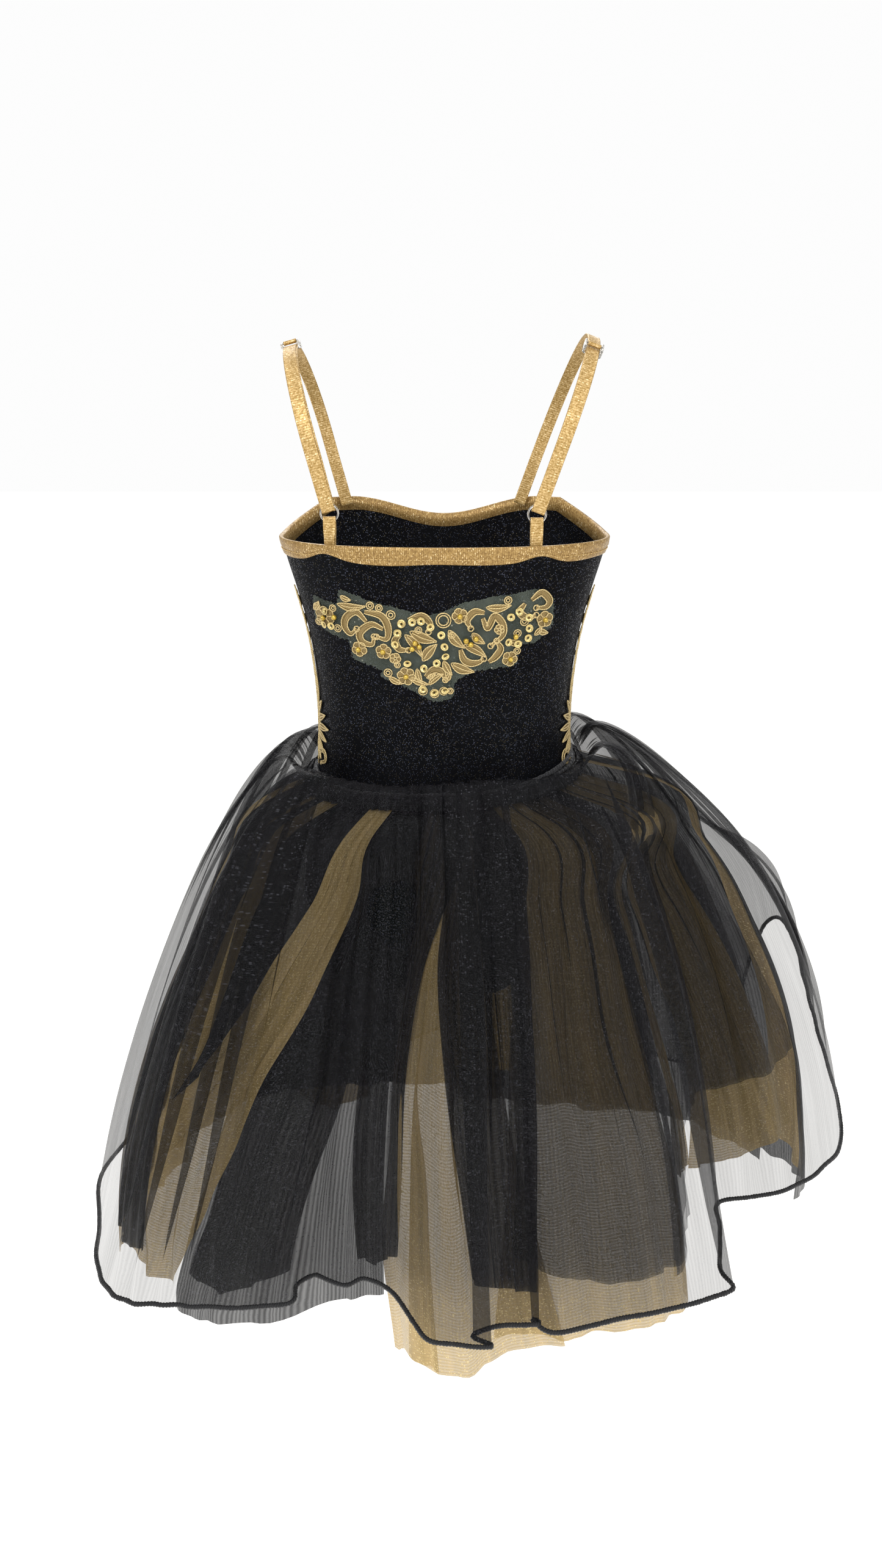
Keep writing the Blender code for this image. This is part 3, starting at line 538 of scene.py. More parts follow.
def buildBodice():
    look = {"columns": 110, "rows": 70, "seam": math.radians(0.15), "pull": 0.35 * mm}
    for name, node, first in (("bodiceBackPanel", "bodice_back", 0.0),
                              ("bodiceFrontPanel", "bodice_front", math.pi)):
        angle = np.linspace(first + look["seam"], first + math.pi - look["seam"], look["columns"])
        share = np.linspace(0, 1, look["rows"])[:, None]
        z = neckZ(angle)[None] * (1 - share) + torso["waist"] * share
        # shallow pulls that run up from the gathered seam
        pulls = (wander(angle / turn, 5, 34) * ease(share, 0.72, 1.0) + 0.5 * wander(angle / turn, 6, 12)
                 * ease(share, 0.3, 1.0))
        grid = torsoAt(angle[None], z, look["pull"] * (pulls - 1.2) * (1 - ease(share, 0.97, 1)))
        cloth = np.stack([np.broadcast_to(angle * torso["mean"], z.shape), -z], -1)
        piece = addShell(name, grid, torso["thick"] - 0.2 * mm, cloth, knit)
        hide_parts(node)
        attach(piece, "bodice")


def legEdge(column, side):  # how far down one side of the leg hole's line a point lies
    crotch, hip = (0.027, -0.490), (0.110, -0.398)
    up = np.array([hip[0] - crotch[0], hip[1] - crotch[1]])
    up /= np.linalg.norm(up)
    return (side * column[:, 0] - crotch[0]) * up[1] - (column[:, 2] - crotch[1]) * up[0]


def briefColumn(angle, way):  # down the body to the crotch line, then in to its middle
    z = np.linspace(torso["waist"] - 0.4 * mm, torso["crotch"], 160)
    down = torsoAt(angle, z)
    share = np.linspace(0, 1, 30)[1:, None]
    inward = np.repeat(down[-1:], len(share), 0)
    inward[:, 1] = inward[:, 1] * (1 - share[:, 0]) + way * 0.3 * mm * share[:, 0]
    line = np.vstack([down, inward])
    side = 1.0 if math.cos(angle) > 0 else -1.0
    beyond = np.nonzero(legEdge(line, side) > 0)[0]
    ends = len(line) if len(beyond) == 0 else max(beyond[0], 3)
    return line[:ends]


def buildBrief():
    look = {"columns": 91, "rows": 60, "band": 2.6 * mm}
    edges = {}
    for name, node, first, way in (("briefBackPanel", "brief_back", 0.0, 1),
                                   ("briefFrontPanel", "brief_front", math.pi, -1)):
        angles = np.linspace(first + 0.003, first + math.pi - 0.003, look["columns"])
        columns = []
        for angle in angles:
            line = briefColumn(angle, way)
            along = lengthAlong(line)
            places = np.linspace(0, along[-1], look["rows"])
            columns.append(np.stack([np.interp(places, along, line[:, k]) for k in range(3)], 1))
        grid = np.stack(columns, 1)
        edges[way] = grid[-1]
        cloth = np.stack([np.broadcast_to(angles * torso["mean"], grid.shape[:2]), -grid[..., 2]], -1)
        piece = addShell(name, grid, torso["thick"] - 0.2 * mm, cloth, knit)
        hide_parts(node)
        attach(piece, "bodice")
    for side, word in ((1, "left"), (-1, "right")):
        keep = [e[(side * e[:, 0] > 0.0262)] for e in (edges[1], edges[-1])]
        order = [k[np.argsort(side * k[:, 0])] for k in keep]
        loop = smoothLine(np.vstack([order[0], order[1][::-1]])[::3], 1.5 * mm, closed=True)
        inward = loop - np.array([side * 0.5 * mm, 0, 0])
        u = np.arange(len(loop)) / len(loop)
        ruck = 1 + 0.16 * np.sin(turn * 70 * u) + 0.06 * wander(u, 9, 40)
        piece = addTubes(f"legElastic{word.title()}",
                         [tubeMesh(inward, look["band"] * 0.6 * ruck, 10, True)],
                         blackElastic)
        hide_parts(f"leg_elastic_{word}")
        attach(piece, "bodice")


binding = {"tall": 10.6 * mm, "ply": 0.9 * mm, "pinch": 4.8 * mm, "steps": 420, "tabAngles": (0.708, 2.260),
           "stitch": 2.3 * mm, "stitchGap": 0.9 * mm, "stitchDrop": 7.0 * mm,
           "mean": 0.105}  # the neckline's mean radius


def bindingTall(angle):  # the lower edge draws up at the two tabs
    tall = binding["tall"] + 0.45 * mm * wander(angle / turn, 12, 9)
    for tab in binding["tabAngles"]:
        tall = tall - binding["pinch"] * np.exp(-((angle - tab) / 0.13) ** 2)
    return tall


def buildBinding():
    steps = binding["steps"]
    angle = np.arange(steps) * turn / steps
    top, tall = neckZ(angle), bindingTall(angle)
    ply, gap = binding["ply"], 0.3 * mm
    puff = 0.35 * mm * wander(angle / turn, 14, 30)
    crease = sum(np.exp(-((angle - tab) / 0.22) ** 2) for tab in binding["tabAngles"])
    outside = [(gap, 1.0), (gap + ply * 0.8, 0.985), (gap + ply, 0.9), (gap + ply * 1.15, 0.72),
               (gap + ply * 0.75, 0.62), (gap + ply * 1.2, 0.48), (gap + ply * 1.35, 0.2),
               (gap + ply * 1.1, -0.02), (gap + ply * 0.4, -0.10)]
    rows = []
    for out, share in outside:
        bulge = puff * (0.3 < share < 0.6) + 0.5 * mm * crease * (share == 0.48)
        rows.append(torsoAt(angle, top - tall * share, out + bulge))
    inside = [(-1.0 * mm, -0.10), (-1.0 * mm - ply, -0.02), (-1.0 * mm - ply, 0.95), (-1.2 * mm, 0.97),
              (-1.2 * mm, 0.1), (0.0, 0.02), (gap * 0.9, 0.1)]
    rows += [torsoAt(angle, top - 9.5 * mm * share, out) for out, share in inside]
    grid = np.stack([*rows, rows[0]])
    count = len(grid) - 1
    around = lengthAlong(grid[:, 0])[:count]
    cloth = np.stack(np.broadcast_arrays(around[:, None], (angle * binding["mean"])[None]), -1)
    i, j = np.meshgrid(np.arange(count), np.arange(steps), indexing="ij")
    k, n = (j + 1) % steps, (i + 1) % count
    faces = np.stack([i * steps + j, n * steps + j, n * steps + k, i * steps + k], -1).reshape(-1, 4)
    piece = addPiece("neckBindingFold", grid[:-1].reshape(-1, 3), faces, goldElastic,
                     cloth.reshape(-1, 2), True)
    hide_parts("neck_binding")
    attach(piece, "bodice")
    stitches, place = [], 0.0
    while place < turn:
        ends = np.linspace(place, place + binding["stitch"] / binding["mean"], 4)
        drop = np.minimum(binding["stitchDrop"], bindingTall(ends) - 1.4 * mm)
        line = torsoAt(ends, neckZ(ends) - drop, gap + ply * np.array([0.9, 1.35, 1.35, 0.9]))
        stitches.append(tubeMesh(line, 0.26 * mm, 5))
        place += (binding["stitch"] + binding["stitchGap"]) / binding["mean"]
    piece = addTubes("neckBindingStitches", stitches, seamThread)
    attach(piece, "bodice")


def waistLift(angle):  # the seam sits a little higher on the wearer's right than on the left
    across = np.cos(angle)
    return np.where(across < 0, 8.0 * mm, -4.0 * mm) * np.abs(across) ** 1.6


def buildWaistRoll():
    steps = 620
    u = np.arange(steps) / steps
    angle = u * turn
    line = torsoAt(angle, torso["waist"] + 2.4 * mm + waistLift(angle) + 0.4 * mm * wander(u, 21, 20),
                   1.9 * mm)
    thick = (1.9 + 0.28 * np.sin(turn * 120 * u + 2 * wander(u, 22, 5)) + 0.2 * wander(u, 23, 60)) * mm
    piece = addTubes("waistSeamRoll", [tubeMesh(line, thick, 10, True)], blackElastic)
    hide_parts("waist_elastic")
    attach(piece, "bodice")
    # a looser second fold of the same cloth that leaves the seam and climbs to each side
    for word, first, last, height in (("Right", 2.05, 3.05, 9.0 * mm), ("Left", 0.62, 0.10, 7.0 * mm)):
        along = np.linspace(first, last, 60)
        share = np.linspace(0, 1, 60)
        line = torsoAt(along, torso["waist"] + 3.0 * mm + waistLift(along) + height * share**1.6, 1.9 * mm)
        thick = 1.7 * mm * np.sin(math.pi * np.clip(share, 0.04,
                                                    0.96)) ** 0.5 * (1 + 0.12 * np.sin(share * 90))
        piece = addTubes(f"waistFold{word}", [tubeMesh(line, thick, 10)], blackElastic)
        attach(piece, "bodice")


# ---- corded lace: outlines are drawn flat in millimetres, then laid on the body
def circleLine(x, y, radius, turnBy=0.0, count=18):
    a = np.arange(count) * turn / count + turnBy
    return np.stack([x + radius * np.cos(a), y + radius * np.sin(a)], 1)


class Lace:  # collects the cords and the fill threads of one appliqued piece
    def __init__(self):
        self.cords, self.fills = [], []

    def loop(self, points, step=0.9):
        self.cords.append((smoothLine(points, step, True), True))

    def line(self, points, step=0.9):
        self.cords.append((smoothLine(points, step), False))

    def hatch(self, left, right, gap=1.75):  # threads across between two lines, and back again
        left, right = np.asarray(left), np.asarray(right)
        count = max(3, int(np.linalg.norm(np.diff((left + right) / 2, axis=0), axis=1).sum() / gap))
        share = np.linspace(0, 1, count)
        at = [np.stack([np.interp(share * (len(s) - 1), np.arange(len(s)), s[:, k]) for k in (0, 1)], 1)
              for s in (left, right)]
        for i in range(count - 1):
            self.fills.append(np.array([at[0][i], at[1][i + 1]]))
            self.fills.append(np.array([at[1][i], at[0][i + 1]]))

    def ribbon(self, points, wide):  # a corded band with both edges, filled between
        middle = smoothLine(points, 1.0)
        run = np.gradient(middle, axis=0)
        run /= np.maximum(np.linalg.norm(run, axis=1, keepdims=True), 1e-9)
        side = np.stack([-run[:, 1], run[:, 0]], 1)
        share = np.linspace(0, 1, len(middle))[:, None]
        half = wide / 2 * (0.45 + 0.55 * np.sin(math.pi * np.clip(share * 1.1, 0, 1)))
        left, right = middle + side * half, middle - side * half
        self.cords.append((left, False))
        self.cords.append((right, False))
        self.cords.append((circleLine(*middle[-1], wide * 0.42), True))
        self.hatch(left, right)

    def leaf(self, x0, y0, x1, y1, wide, bend=0.0):
        start, end = np.array([x0, y0], float), np.array([x1, y1], float)
        run = end - start
        side = np.array([-run[1], run[0]]) / max(np.linalg.norm(run), 1e-9)
        share = np.linspace(0, 1, 13)[:, None]
        middle = start + run * share + side * bend * np.sin(math.pi * share)
        half = wide / 2 * np.sin(math.pi * share**0.8)
        left, right = middle + side * half, middle - side * half
        self.loop(np.vstack([left, right[-2:0:-1]]))
        self.line(middle[1:-1])
        self.hatch(left[1:-1], middle[1:-1])
        self.hatch(middle[1:-1], right[1:-1])

    def flower(self, x, y, radius, petals, turnBy=0.0):
        for k in range(petals):
            a = turnBy + k * turn / petals
            tip = np.array([x + radius * math.cos(a), y + radius * math.sin(a)])
            base = np.array([x + radius * 0.22 * math.cos(a), y + radius * 0.22 * math.sin(a)])
            side = np.array([-math.sin(a), math.cos(a)]) * radius * math.sin(math.pi / petals) * 0.80
            middle = base + (tip - base) * 0.62
            self.loop([base, middle + side, tip, middle - side], 0.8)
            self.hatch(np.array([base, middle + side * 0.9, tip]),
                       np.array([base, middle - side * 0.9, tip]), 1.2)
        self.loop(circleLine(x, y, radius * 0.24, count=8), 0.6)

    def ring(self, x, y, radius):
        self.loop(circleLine(x, y, radius, count=10), 0.7)
        self.loop(circleLine(x, y, radius * 0.5, count=8), 0.6)

    def lay(self, name, place, cordRadius, fillRadius, lift):  # place turns flat points into body points
        tubes = []
        for number, (line, closed) in enumerate(self.cords):
            height = lift + cordRadius * 0.7 + (number % 3) * 0.12 * mm
            tubes.append(tubeMesh(place(line, height), cordRadius, 6, closed,
                                  place(line, height + 1 * mm) - place(line, height), 0.8))
        cords = addTubes(f"{name}Cords", tubes, laceCord)
        tubes = []
        for line in self.fills:
            ends = place(np.array([line[0], (line[0] + line[1]) / 2, line[1]]), lift + fillRadius * 0.6)
            tubes.append(tubeMesh(ends, fillRadius, 4))
        return cords, addTubes(f"{name}FillThreads", tubes, laceFill)


applique = {"centre": (0.0064, -0.1915), "unit": 0.1123 * mm, "middle": (799, 365), "cord": 0.46 * mm,
            "fill": 0.22 * mm, "lift": 0.9 * mm}


def backAt(x, z, out):  # the back's surface by width and height, and out along its own normal
    def depth(across, height):
        half = readRows(torso["rows"], height)
        share = np.maximum(1e-4, 1 - (np.abs(across) / half[..., 0]) ** torso["power"])
        return half[..., 1] * share ** (1 / torso["power"])

    step = 0.5 * mm
    y = depth(x, z)
    normal = np.stack([-(depth(x + step, z) - y) / step, np.ones_like(y),
                       -(depth(x, z + step) - y) / step], -1)
    normal /= np.linalg.norm(normal, axis=-1, keepdims=True)
    return np.stack([x, y, z], -1) + normal * np.broadcast_to(out, y.shape)[..., None]


def onBack(points, out):  # applique drawing units to the body
    points = np.asarray(points, float)
    x = applique["centre"][0] - (points[:, 0] - applique["middle"][0]) * applique["unit"]
    z = applique["centre"][1] - (points[:, 1] - applique["middle"][1]) * applique["unit"]
    return backAt(x, z, out)


def buildApplique():
    outline = ((50, 140), (120, 150), (205, 165), (225, 80), (300, 95), (400, 130), (560, 165), (660, 190),
               (760, 205), (870, 180), (985, 130), (1100, 110), (1215, 95), (1300, 85), (1400, 65),
               (1500, 120),
               (1515, 200), (1510, 290), (1460, 350), (1400, 400), (1320, 405), (1300, 470), (1280, 530),
               (1160, 545), (1040, 560), (930, 620), (905, 720), (800, 750), (720, 715), (650, 680),
               (560, 640),
               (470, 600), (470, 560), (380, 530), (300, 500), (275, 400), (200, 375), (130, 350),
               (60, 290))
    draw = random.Random(31)
    edge = smoothLine(np.array(outline, float), 8.0, True)
    edge = edge + np.array([[draw.gauss(0, 3.5), draw.gauss(0, 3.5)] for _ in edge])  # a cut, frayed edge
    inner = []
    for x in np.arange(40, 1530, 18.0):
        for y in np.arange(50, 760, 18.0):
            inner.append((x + draw.uniform(-3, 3), y + draw.uniform(-3, 3)))
    points = [Vector(p) for p in [*edge.tolist(), *inner]]
    rim = [(i, (i + 1) % len(edge)) for i in range(len(edge))]
    flat, _, faces, _, _, _ = geometry.delaunay_2d_cdt(points, rim, [list(range(len(edge)))], 1, 1e-4)
    flat = np.array([tuple(p) for p in flat])
    ripple = 0.25 * mm * np.sin(flat[:, 0] / 46) * np.sin(flat[:, 1] / 38)
    net = addPiece("appliqueNetBacking", onBack(flat, 0.6 * mm + ripple), faces, netBacking,
                   flat * applique["unit"])
    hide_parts("applique_net")
    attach(net, "bodice")

    lace = Lace()
    for x, y, r, petals, by in ((343, 436, 46, 5, .3), (490, 440, 46, 5, 1.0), (945, 213, 46, 5, .6),
                                (1247, 487, 46, 5, .2), (1455, 257, 50, 5, .9), (625, 590, 56, 6, .2),
                                (130, 255, 62, 6, .4), (560, 480, 34, 5, .1), (1180, 300, 30, 5, .5)):
        lace.flower(x, y, r, petals, by)
    for spot in ((415, 160, 22), (468, 172, 20), (537, 212, 26), (1228, 125, 22), (515, 573, 24),
                 (572, 520, 18), (725, 680, 26), (795, 697, 26), (850, 682, 24), (890, 680, 18),
                 (600, 262, 22), (700, 300, 20), (1330, 260, 24), (1290, 330, 22), (210, 320, 22),
                 (185, 195, 20), (80, 200, 22), (85, 300, 20), (1290, 440, 20), (900, 330, 18)):
        lace.ring(*spot)
    lace.loop(circleLine(848, 240, 44, count=9))
    lace.loop(circleLine(848, 240, 30, 0.3, count=9))
    ribbons = (
        ((390, 260), (330, 205), (270, 240), (255, 300), (290, 345), (330, 310)),
        ((380, 200), (480, 220), (520, 290), (510, 360), (450, 350)),
        ((490, 300), (420, 275), (350, 330), (360, 385), (420, 400), (435, 350)),
        ((1090, 195), (1030, 190), (990, 240), (1010, 290)),
        ((1080, 230), (1110, 290), (1150, 220), (1200, 270), (1200, 340), (1130, 400)),
        ((1370, 130), (1430, 90), (1480, 140), (1460, 180), (1400, 180)),
        ((950, 420), (970, 480), (1010, 505), (1060, 500), (1090, 480)),
        ((590, 330), (560, 370), (585, 420), (640, 425)),
        ((1330, 150), (1300, 200), (1350, 240), (1400, 225)),
        ((640, 240), (720, 215), (770, 260), (760, 310)),
        ((740, 590), (790, 545), (840, 560), (860, 610)),
        ((1120, 500), (1160, 470), (1190, 420), (1165, 370)),
    )
    for points in ribbons:
        lace.ribbon(points, 40)
    for leaf in ((215, 165, 390, 165, 44, 14), (650, 310, 810, 370, 60, 10), (725, 490, 810, 385, 56, -8),
                 (880, 300, 975, 410, 54, 12), (970, 390, 1105, 470, 50, -10),
                 (1100, 165, 1250, 155, 44, 12),
                 (895, 505, 1035, 560, 54, 12), (620, 330, 720, 465, 50, -12),
                 (1020, 320, 1095, 385, 46, 8),
                 (1420, 320, 1480, 345, 34, 6), (1395, 350, 1440, 300, 30, 4), (650, 600, 760, 640, 34, 8),
                 (760, 640, 850, 570, 34, -8), (750, 600, 800, 565, 28, 4), (860, 620, 890, 560, 30, 4),
                 (60, 225, 95, 165, 32, 4), (235, 115, 300, 135, 30, 6), (520, 600, 600, 640, 34, 6),
                 (850, 490, 900, 580, 40, 6), (1240, 380, 1320, 390, 36, 6), (690, 540, 720, 640, 32, 6)):
        lace.leaf(*leaf)
    unit = applique["unit"] / mm
    lace.cords = [(smoothLine(line[::2] if len(line) > 8 else line, 0.85 / unit, closed), closed)
                  for line, closed in lace.cords]
    cords, fills = lace.lay("applique", onBack, applique["cord"], applique["fill"], applique["lift"])
    for piece in (cords, fills):
        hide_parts("applique_cording")
        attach(piece, "bodice")

    beads = ((200, 248), (128, 262), (343, 436), (490, 440), (682, 377), (706, 400), (664, 413), (945, 213),
             (982, 362), (1040, 350), (1010, 385), (1275, 347), (1452, 257), (1247, 487), (625, 590))
    sequins = ((140, 218), (130, 305), (178, 305), (600, 262), (578, 318), (563, 388), (665, 250),
               (717, 242),
               (772, 277), (835, 328), (855, 398), (860, 458), (808, 502), (732, 535), (635, 505),
               (725, 668),
               (795, 690), (858, 675), (1245, 225), (1293, 195), (1355, 300), (1353, 235), (1290, 393),
               (1233, 378), (1352, 362))
    points, faces = [], []
    for centre in beads:
        middle = onBack(np.array([centre]), applique["lift"] + 2.3 * mm)[0]
        work = bmesh.new()
        bmesh.ops.create_uvsphere(work, u_segments=18, v_segments=12, radius=1.9 * mm)
        first = len(points)
        for v in work.verts:
            points.append(np.array(v.co) + middle)
        faces += [[v.index + first for v in f.verts] for f in work.faces]
        work.free()
    points = np.array(points)
    piece = addPiece("appliquePearls", points, faces, pearl, points[:, [0, 2]], True)
    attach(piece, "bodice")
    discs = []
    for number, centre in enumerate(sequins):
        middle = onBack(np.array([centre]), applique["lift"] + (1.5 + 0.25 * (number % 3)) * mm)[0]
        out = onBack(np.array([centre]), 3 * mm)[0] - onBack(np.array([centre]), 0.0)[0]
        tilt = Vector(out / np.linalg.norm(out)) + Vector((draw.uniform(-.3, .3), 0, draw.uniform(-.3, .3)))
        around = circleLine(0, 0, 1.75 * mm, count=20)
        frameOf = tilt.normalized().to_track_quat("Z", "Y").to_matrix()
        line = np.array([np.array(frameOf @ Vector((a, b, 0))) + middle for a, b in around])
        facing = np.repeat(np.array([tilt.normalized()]), len(line), 0)
        # a cupped washer: the profile runs from its centre hole to its rim
        profile = np.array([(-1.05, -0.30), (0.9, 0.22), (1.0, 0.30), (0.9, 0.38), (-1.05, -0.14)]) * mm
        discs.append(tubeMesh(line, 1.0, 5, True, facing, profile=profile))
    piece = addTubes("appliqueSequins", discs, sequinFoil)
    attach(piece, "bodice")


def aroundAt(first):  # flat millimetres (round the body from that direction, height) to the body
    def place(points, out):
        points = np.asarray(points, float)
        z = points[:, 1] * mm
        half = readRows(torso["rows"], z)
        angle = first + points[:, 0] * mm / (0.5 * (half[:, 0] + half[:, 1]) * 1.04)
        return torsoAt(angle, z, out)
    return place


def buildFrontLace():
    look = {"columns": 120, "rows": 60, "edge": math.radians(9.2)}
    angle = np.linspace(math.pi + look["edge"], turn - look["edge"], look["columns"])
    share = np.linspace(0, 1, look["rows"])[:, None]
    z = (neckZ(angle) - 8.5 * mm)[None] * (1 - share) + (torso["waist"] + 5.5 * mm) * share
    grid = torsoAt(angle[None], z, 0.6 * mm + 0.15 * mm * np.sin(z * 900) * np.sin(angle * 60)[None])
    ground = addSheet("frontLaceGround", grid,
                      np.stack([np.broadcast_to(angle * torso["mean"], z.shape), -z], -1), goldNet)
    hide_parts("front_lace")
    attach(ground, "bodice")
    lace = Lace()
    for side in (-1, 1):
        for x, y, r, petals in ((0, -150, 12, 6), (0, -205, 13, 6), (0, -262, 12, 6), (46, -172, 11, 5),
                                (52, -236, 11, 5), (92, -200, 10, 5), (88, -268, 10, 5), (28, -290, 8, 5),
                                (104, -160, 9, 5)):
            if x > 0 or side > 0:
                lace.flower(side * x, y, r, petals, 0.2 * side + x)
        for points, wide in (
            (((8, -132), (24, -138), (34, -152), (24, -166), (12, -160)), 5),
            (((14, -176), (32, -186), (34, -204), (20, -212), (14, -198)), 5),
            (((12, -228), (28, -238), (34, -256), (20, -262), (16, -250)), 5),
            (((60, -150), (78, -148), (88, -162), (78, -178), (66, -170)), 5),
            (((62, -196), (76, -190), (82, -214), (70, -224), (60, -216)), 5),
            (((56, -262), (74, -252), (76, -276), (62, -286), (54, -276)), 5),
            (((100, -226), (114, -214), (118, -236), (106, -246), (98, -240)), 5),
            (((104, -288), (116, -276), (120, -292), (112, -298), (106, -296)), 4),
            (((62, -128), (74, -132), (86, -134), (92, -140), (88, -146)), 4),
        ):
            lace.ribbon([(side * x, y) for x, y in points], wide)
        for x0, y0, x1, y1, wide in ((16, -190, 40, -178, 6), (40, -186, 46, -222, 6),
                                     (62, -240, 84, -232, 6),
                                     (20, -272, 46, -262, 6), (84, -186, 96, -172, 5),
                                     (96, -254, 116, -262, 5),
                                     (36, -130, 52, -142, 5), (64, -178, 86, -186, 6),
                                     (110, -180, 118, -200, 5),
                                     (40, -296, 60, -292, 5), (30, -216, 42, -230, 5),
                                     (84, -284, 100, -278, 5),
                                     (4, -238, 14, -224, 4), (4, -178, 14, -168, 4)):
            lace.leaf(side * x0, y0, side * x1, y1, wide)
    lace.cords = [(smoothLine(line[::2] if len(line) > 10 else line, 1.3, closed), closed)
                  for line, closed in lace.cords]
    for piece in lace.lay("frontLace", aroundAt(1.5 * math.pi), 0.6 * mm, 0.34 * mm, 0.7 * mm):
        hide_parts("front_lace")
        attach(piece, "bodice")


def buildSideLace():  # the lace's scalloped edge, lapped past the side seams on to the back
    for word, middle, toBack in (("left", 0.0, 1), ("right", math.pi, -1)):
        lace = Lace()
        z = np.linspace(-164, -297, 90)
        scallop = 21.0 + 2.4 * np.abs(np.sin((z + 164) / 9.2)) + 2.0 * np.sin(z / 21)
        lace.line(np.stack([toBack * scallop, z], 1)[::2], 1.2)
        lace.line(np.stack([toBack * (scallop - 2.6), z], 1)[::2], 1.2)
        lace.hatch(np.stack([toBack * scallop, z], 1), np.stack([toBack * (scallop - 2.6), z], 1), 1.3)
        for k, height in enumerate(np.arange(-172, -292, -13.5)):
            lace.flower(toBack * (12.5 + 1.5 * math.sin(k * 1.7)), height, 5.0, 5, k * 0.7)
            lace.leaf(toBack * 14.0, height - 5, toBack * 19.6, height - 9.5, 3.4)
            lace.leaf(toBack * 3.0, height - 2, toBack * 7.5, height - 9.0, 3.4)
            lace.ribbon([(toBack * -9, height), (toBack * -6, height - 3), (toBack * -9, height - 7),
                         (toBack * -12, height - 5)], 2.6)
        # a spray of pointed leaves and a small scroll just above the skirt
        for x0, y0, x1, y1, wide in ((20, -262, 36, -256, 4.4), (21, -267, 40, -266, 4.6),
                                     (20, -272, 37, -276, 4.4),
                                     (20, -257, 31, -246, 4.0), (19, -277, 33, -285, 4.0),
                                     (18, -281, 28, -292, 3.6)):
            lace.leaf(toBack * x0, y0, toBack * x1, y1, wide)
        lace.ribbon([(toBack * 24, -286), (toBack * 34, -284), (toBack * 37, -290), (toBack * 29, -294)],
                    3.0)
        lace.cords = [(smoothLine(line[::2] if len(line) > 14 else line, 1.0, closed), closed)
                      for line, closed in lace.cords]
        for piece in lace.lay(f"sideLace{word.title()}", aroundAt(middle), 0.55 * mm, 0.34 * mm, 0.5 * mm):
            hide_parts(f"side_lace_{word}")
            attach(piece, "bodice")


# ---- straps, sliders, rings and tabs
strap = {"wide": 9.0 * mm, "thick": 0.8 * mm, "tab": 8.5 * mm, "pivot": -0.1095, "ring": 5.85 * mm,
         "wire": 0.65 * mm, "play": 0.15 * mm, "inset": 5.2 * mm, "foot": 6.0 * mm, "loop": 2.4 * mm,
         "sewn": 1.2 * mm, "room": 0.3 * mm, "half": 4.75 * mm, "slider": 11.0 * mm, "rail": 1.5 * mm,
         "bar": 1.0 * mm,
         "slip": {"left": -0.9 * mm, "right": 0.2 * mm}, "dash": {"left": 2.6 * mm, "right": 1.9 * mm},
         "stitchRows": {"left": (-3.7 * mm,), "right": (-2.9 * mm, -1.7 * mm)}, "stitchGap": 0.9 * mm,
         # side, ring X, lean in degrees, arch top above the pivot, slider angle
         "sides": (("left", 0.0765, 15.0, 0.1103, 86.0), ("right", -0.0605, -19.7, 0.1197, 60.0))}


def backTurn(x):
    step = 1.0 * mm
    ends = [backAt(np.array([x + s]), np.array([torso["backNeck"]]), 0.0)[0][1] for s in (-step, step)]
    return math.atan2(ends[1] - ends[0], 2 * step)


def ringDepth(x):
    y = backAt(np.array([x]), np.array([torso["backNeck"]]), 0.0)[0][1]
    return y - strap["inset"] / math.cos(backTurn(x))


def inLean(points, ringX, lean):  # from the strap's own plane to the body
    a = math.radians(lean)
    spin = np.array([[math.cos(a), 0, math.sin(a)], [0, 1, 0], [-math.sin(a), 0, math.cos(a)]])
    return np.asarray(points, float) @ spin.T + np.array([ringX, 0, strap["pivot"]])


def ribbonProfile(wide, thick):  # a woven ribbon's rounded section, slightly thicker at its edges
    w, t = wide / 2, thick / 2
    return np.array([(-w, 0), (-w + 0.25 * mm, -t), (-w + 0.9 * mm, -t), (-w + 1.3 * mm, -t * 0.72),
                     (w - 1.3 * mm, -t * 0.72), (w - 0.9 * mm, -t), (w - 0.25 * mm, -t), (w, 0),
                     (w - 0.25 * mm, t), (w - 0.9 * mm, t), (w - 1.3 * mm, t * 0.72),
                     (-w + 1.3 * mm, t * 0.72), (-w + 0.9 * mm, t), (-w + 0.25 * mm, t)])


def arcPoints(y, z, radius, first, last, count):
    a = np.linspace(first, last, count)
    return np.stack([y + radius * np.cos(a), z + radius * np.sin(a)], 1)


def addDashes(name, path, across, body, cover, dash, gap, radius):
    # rows of stitches on a ribbon: path is (y, z) in its plane, across the X of each row
    along = lengthAlong(path)
    run = np.gradient(path, axis=0)
    run /= np.linalg.norm(run, axis=1, keepdims=True)
    out = np.stack([run[:, 1], -run[:, 0]], 1) * cover
    tubes = []
    for x in across:
        place = 0.0
        while place + dash < along[-1]:
            at = np.linspace(place, place + dash, 4)
            sunk = np.array([-0.15, 0.12, 0.12, -0.15]) * mm
            line = [[x, *(np.array([np.interp(s, along, path[:, k] + out[:, k]) for k in (0, 1)])
                          + np.array([np.interp(s, along, out[:, k]) for k in (0, 1)]) / abs(cover) * d)]
                    for s, d in zip(at, sunk)]
            tubes.append(tubeMesh(inLean(line, *body), radius, 5))
            place += dash + gap
    return addTubes(name, tubes, seamThread)


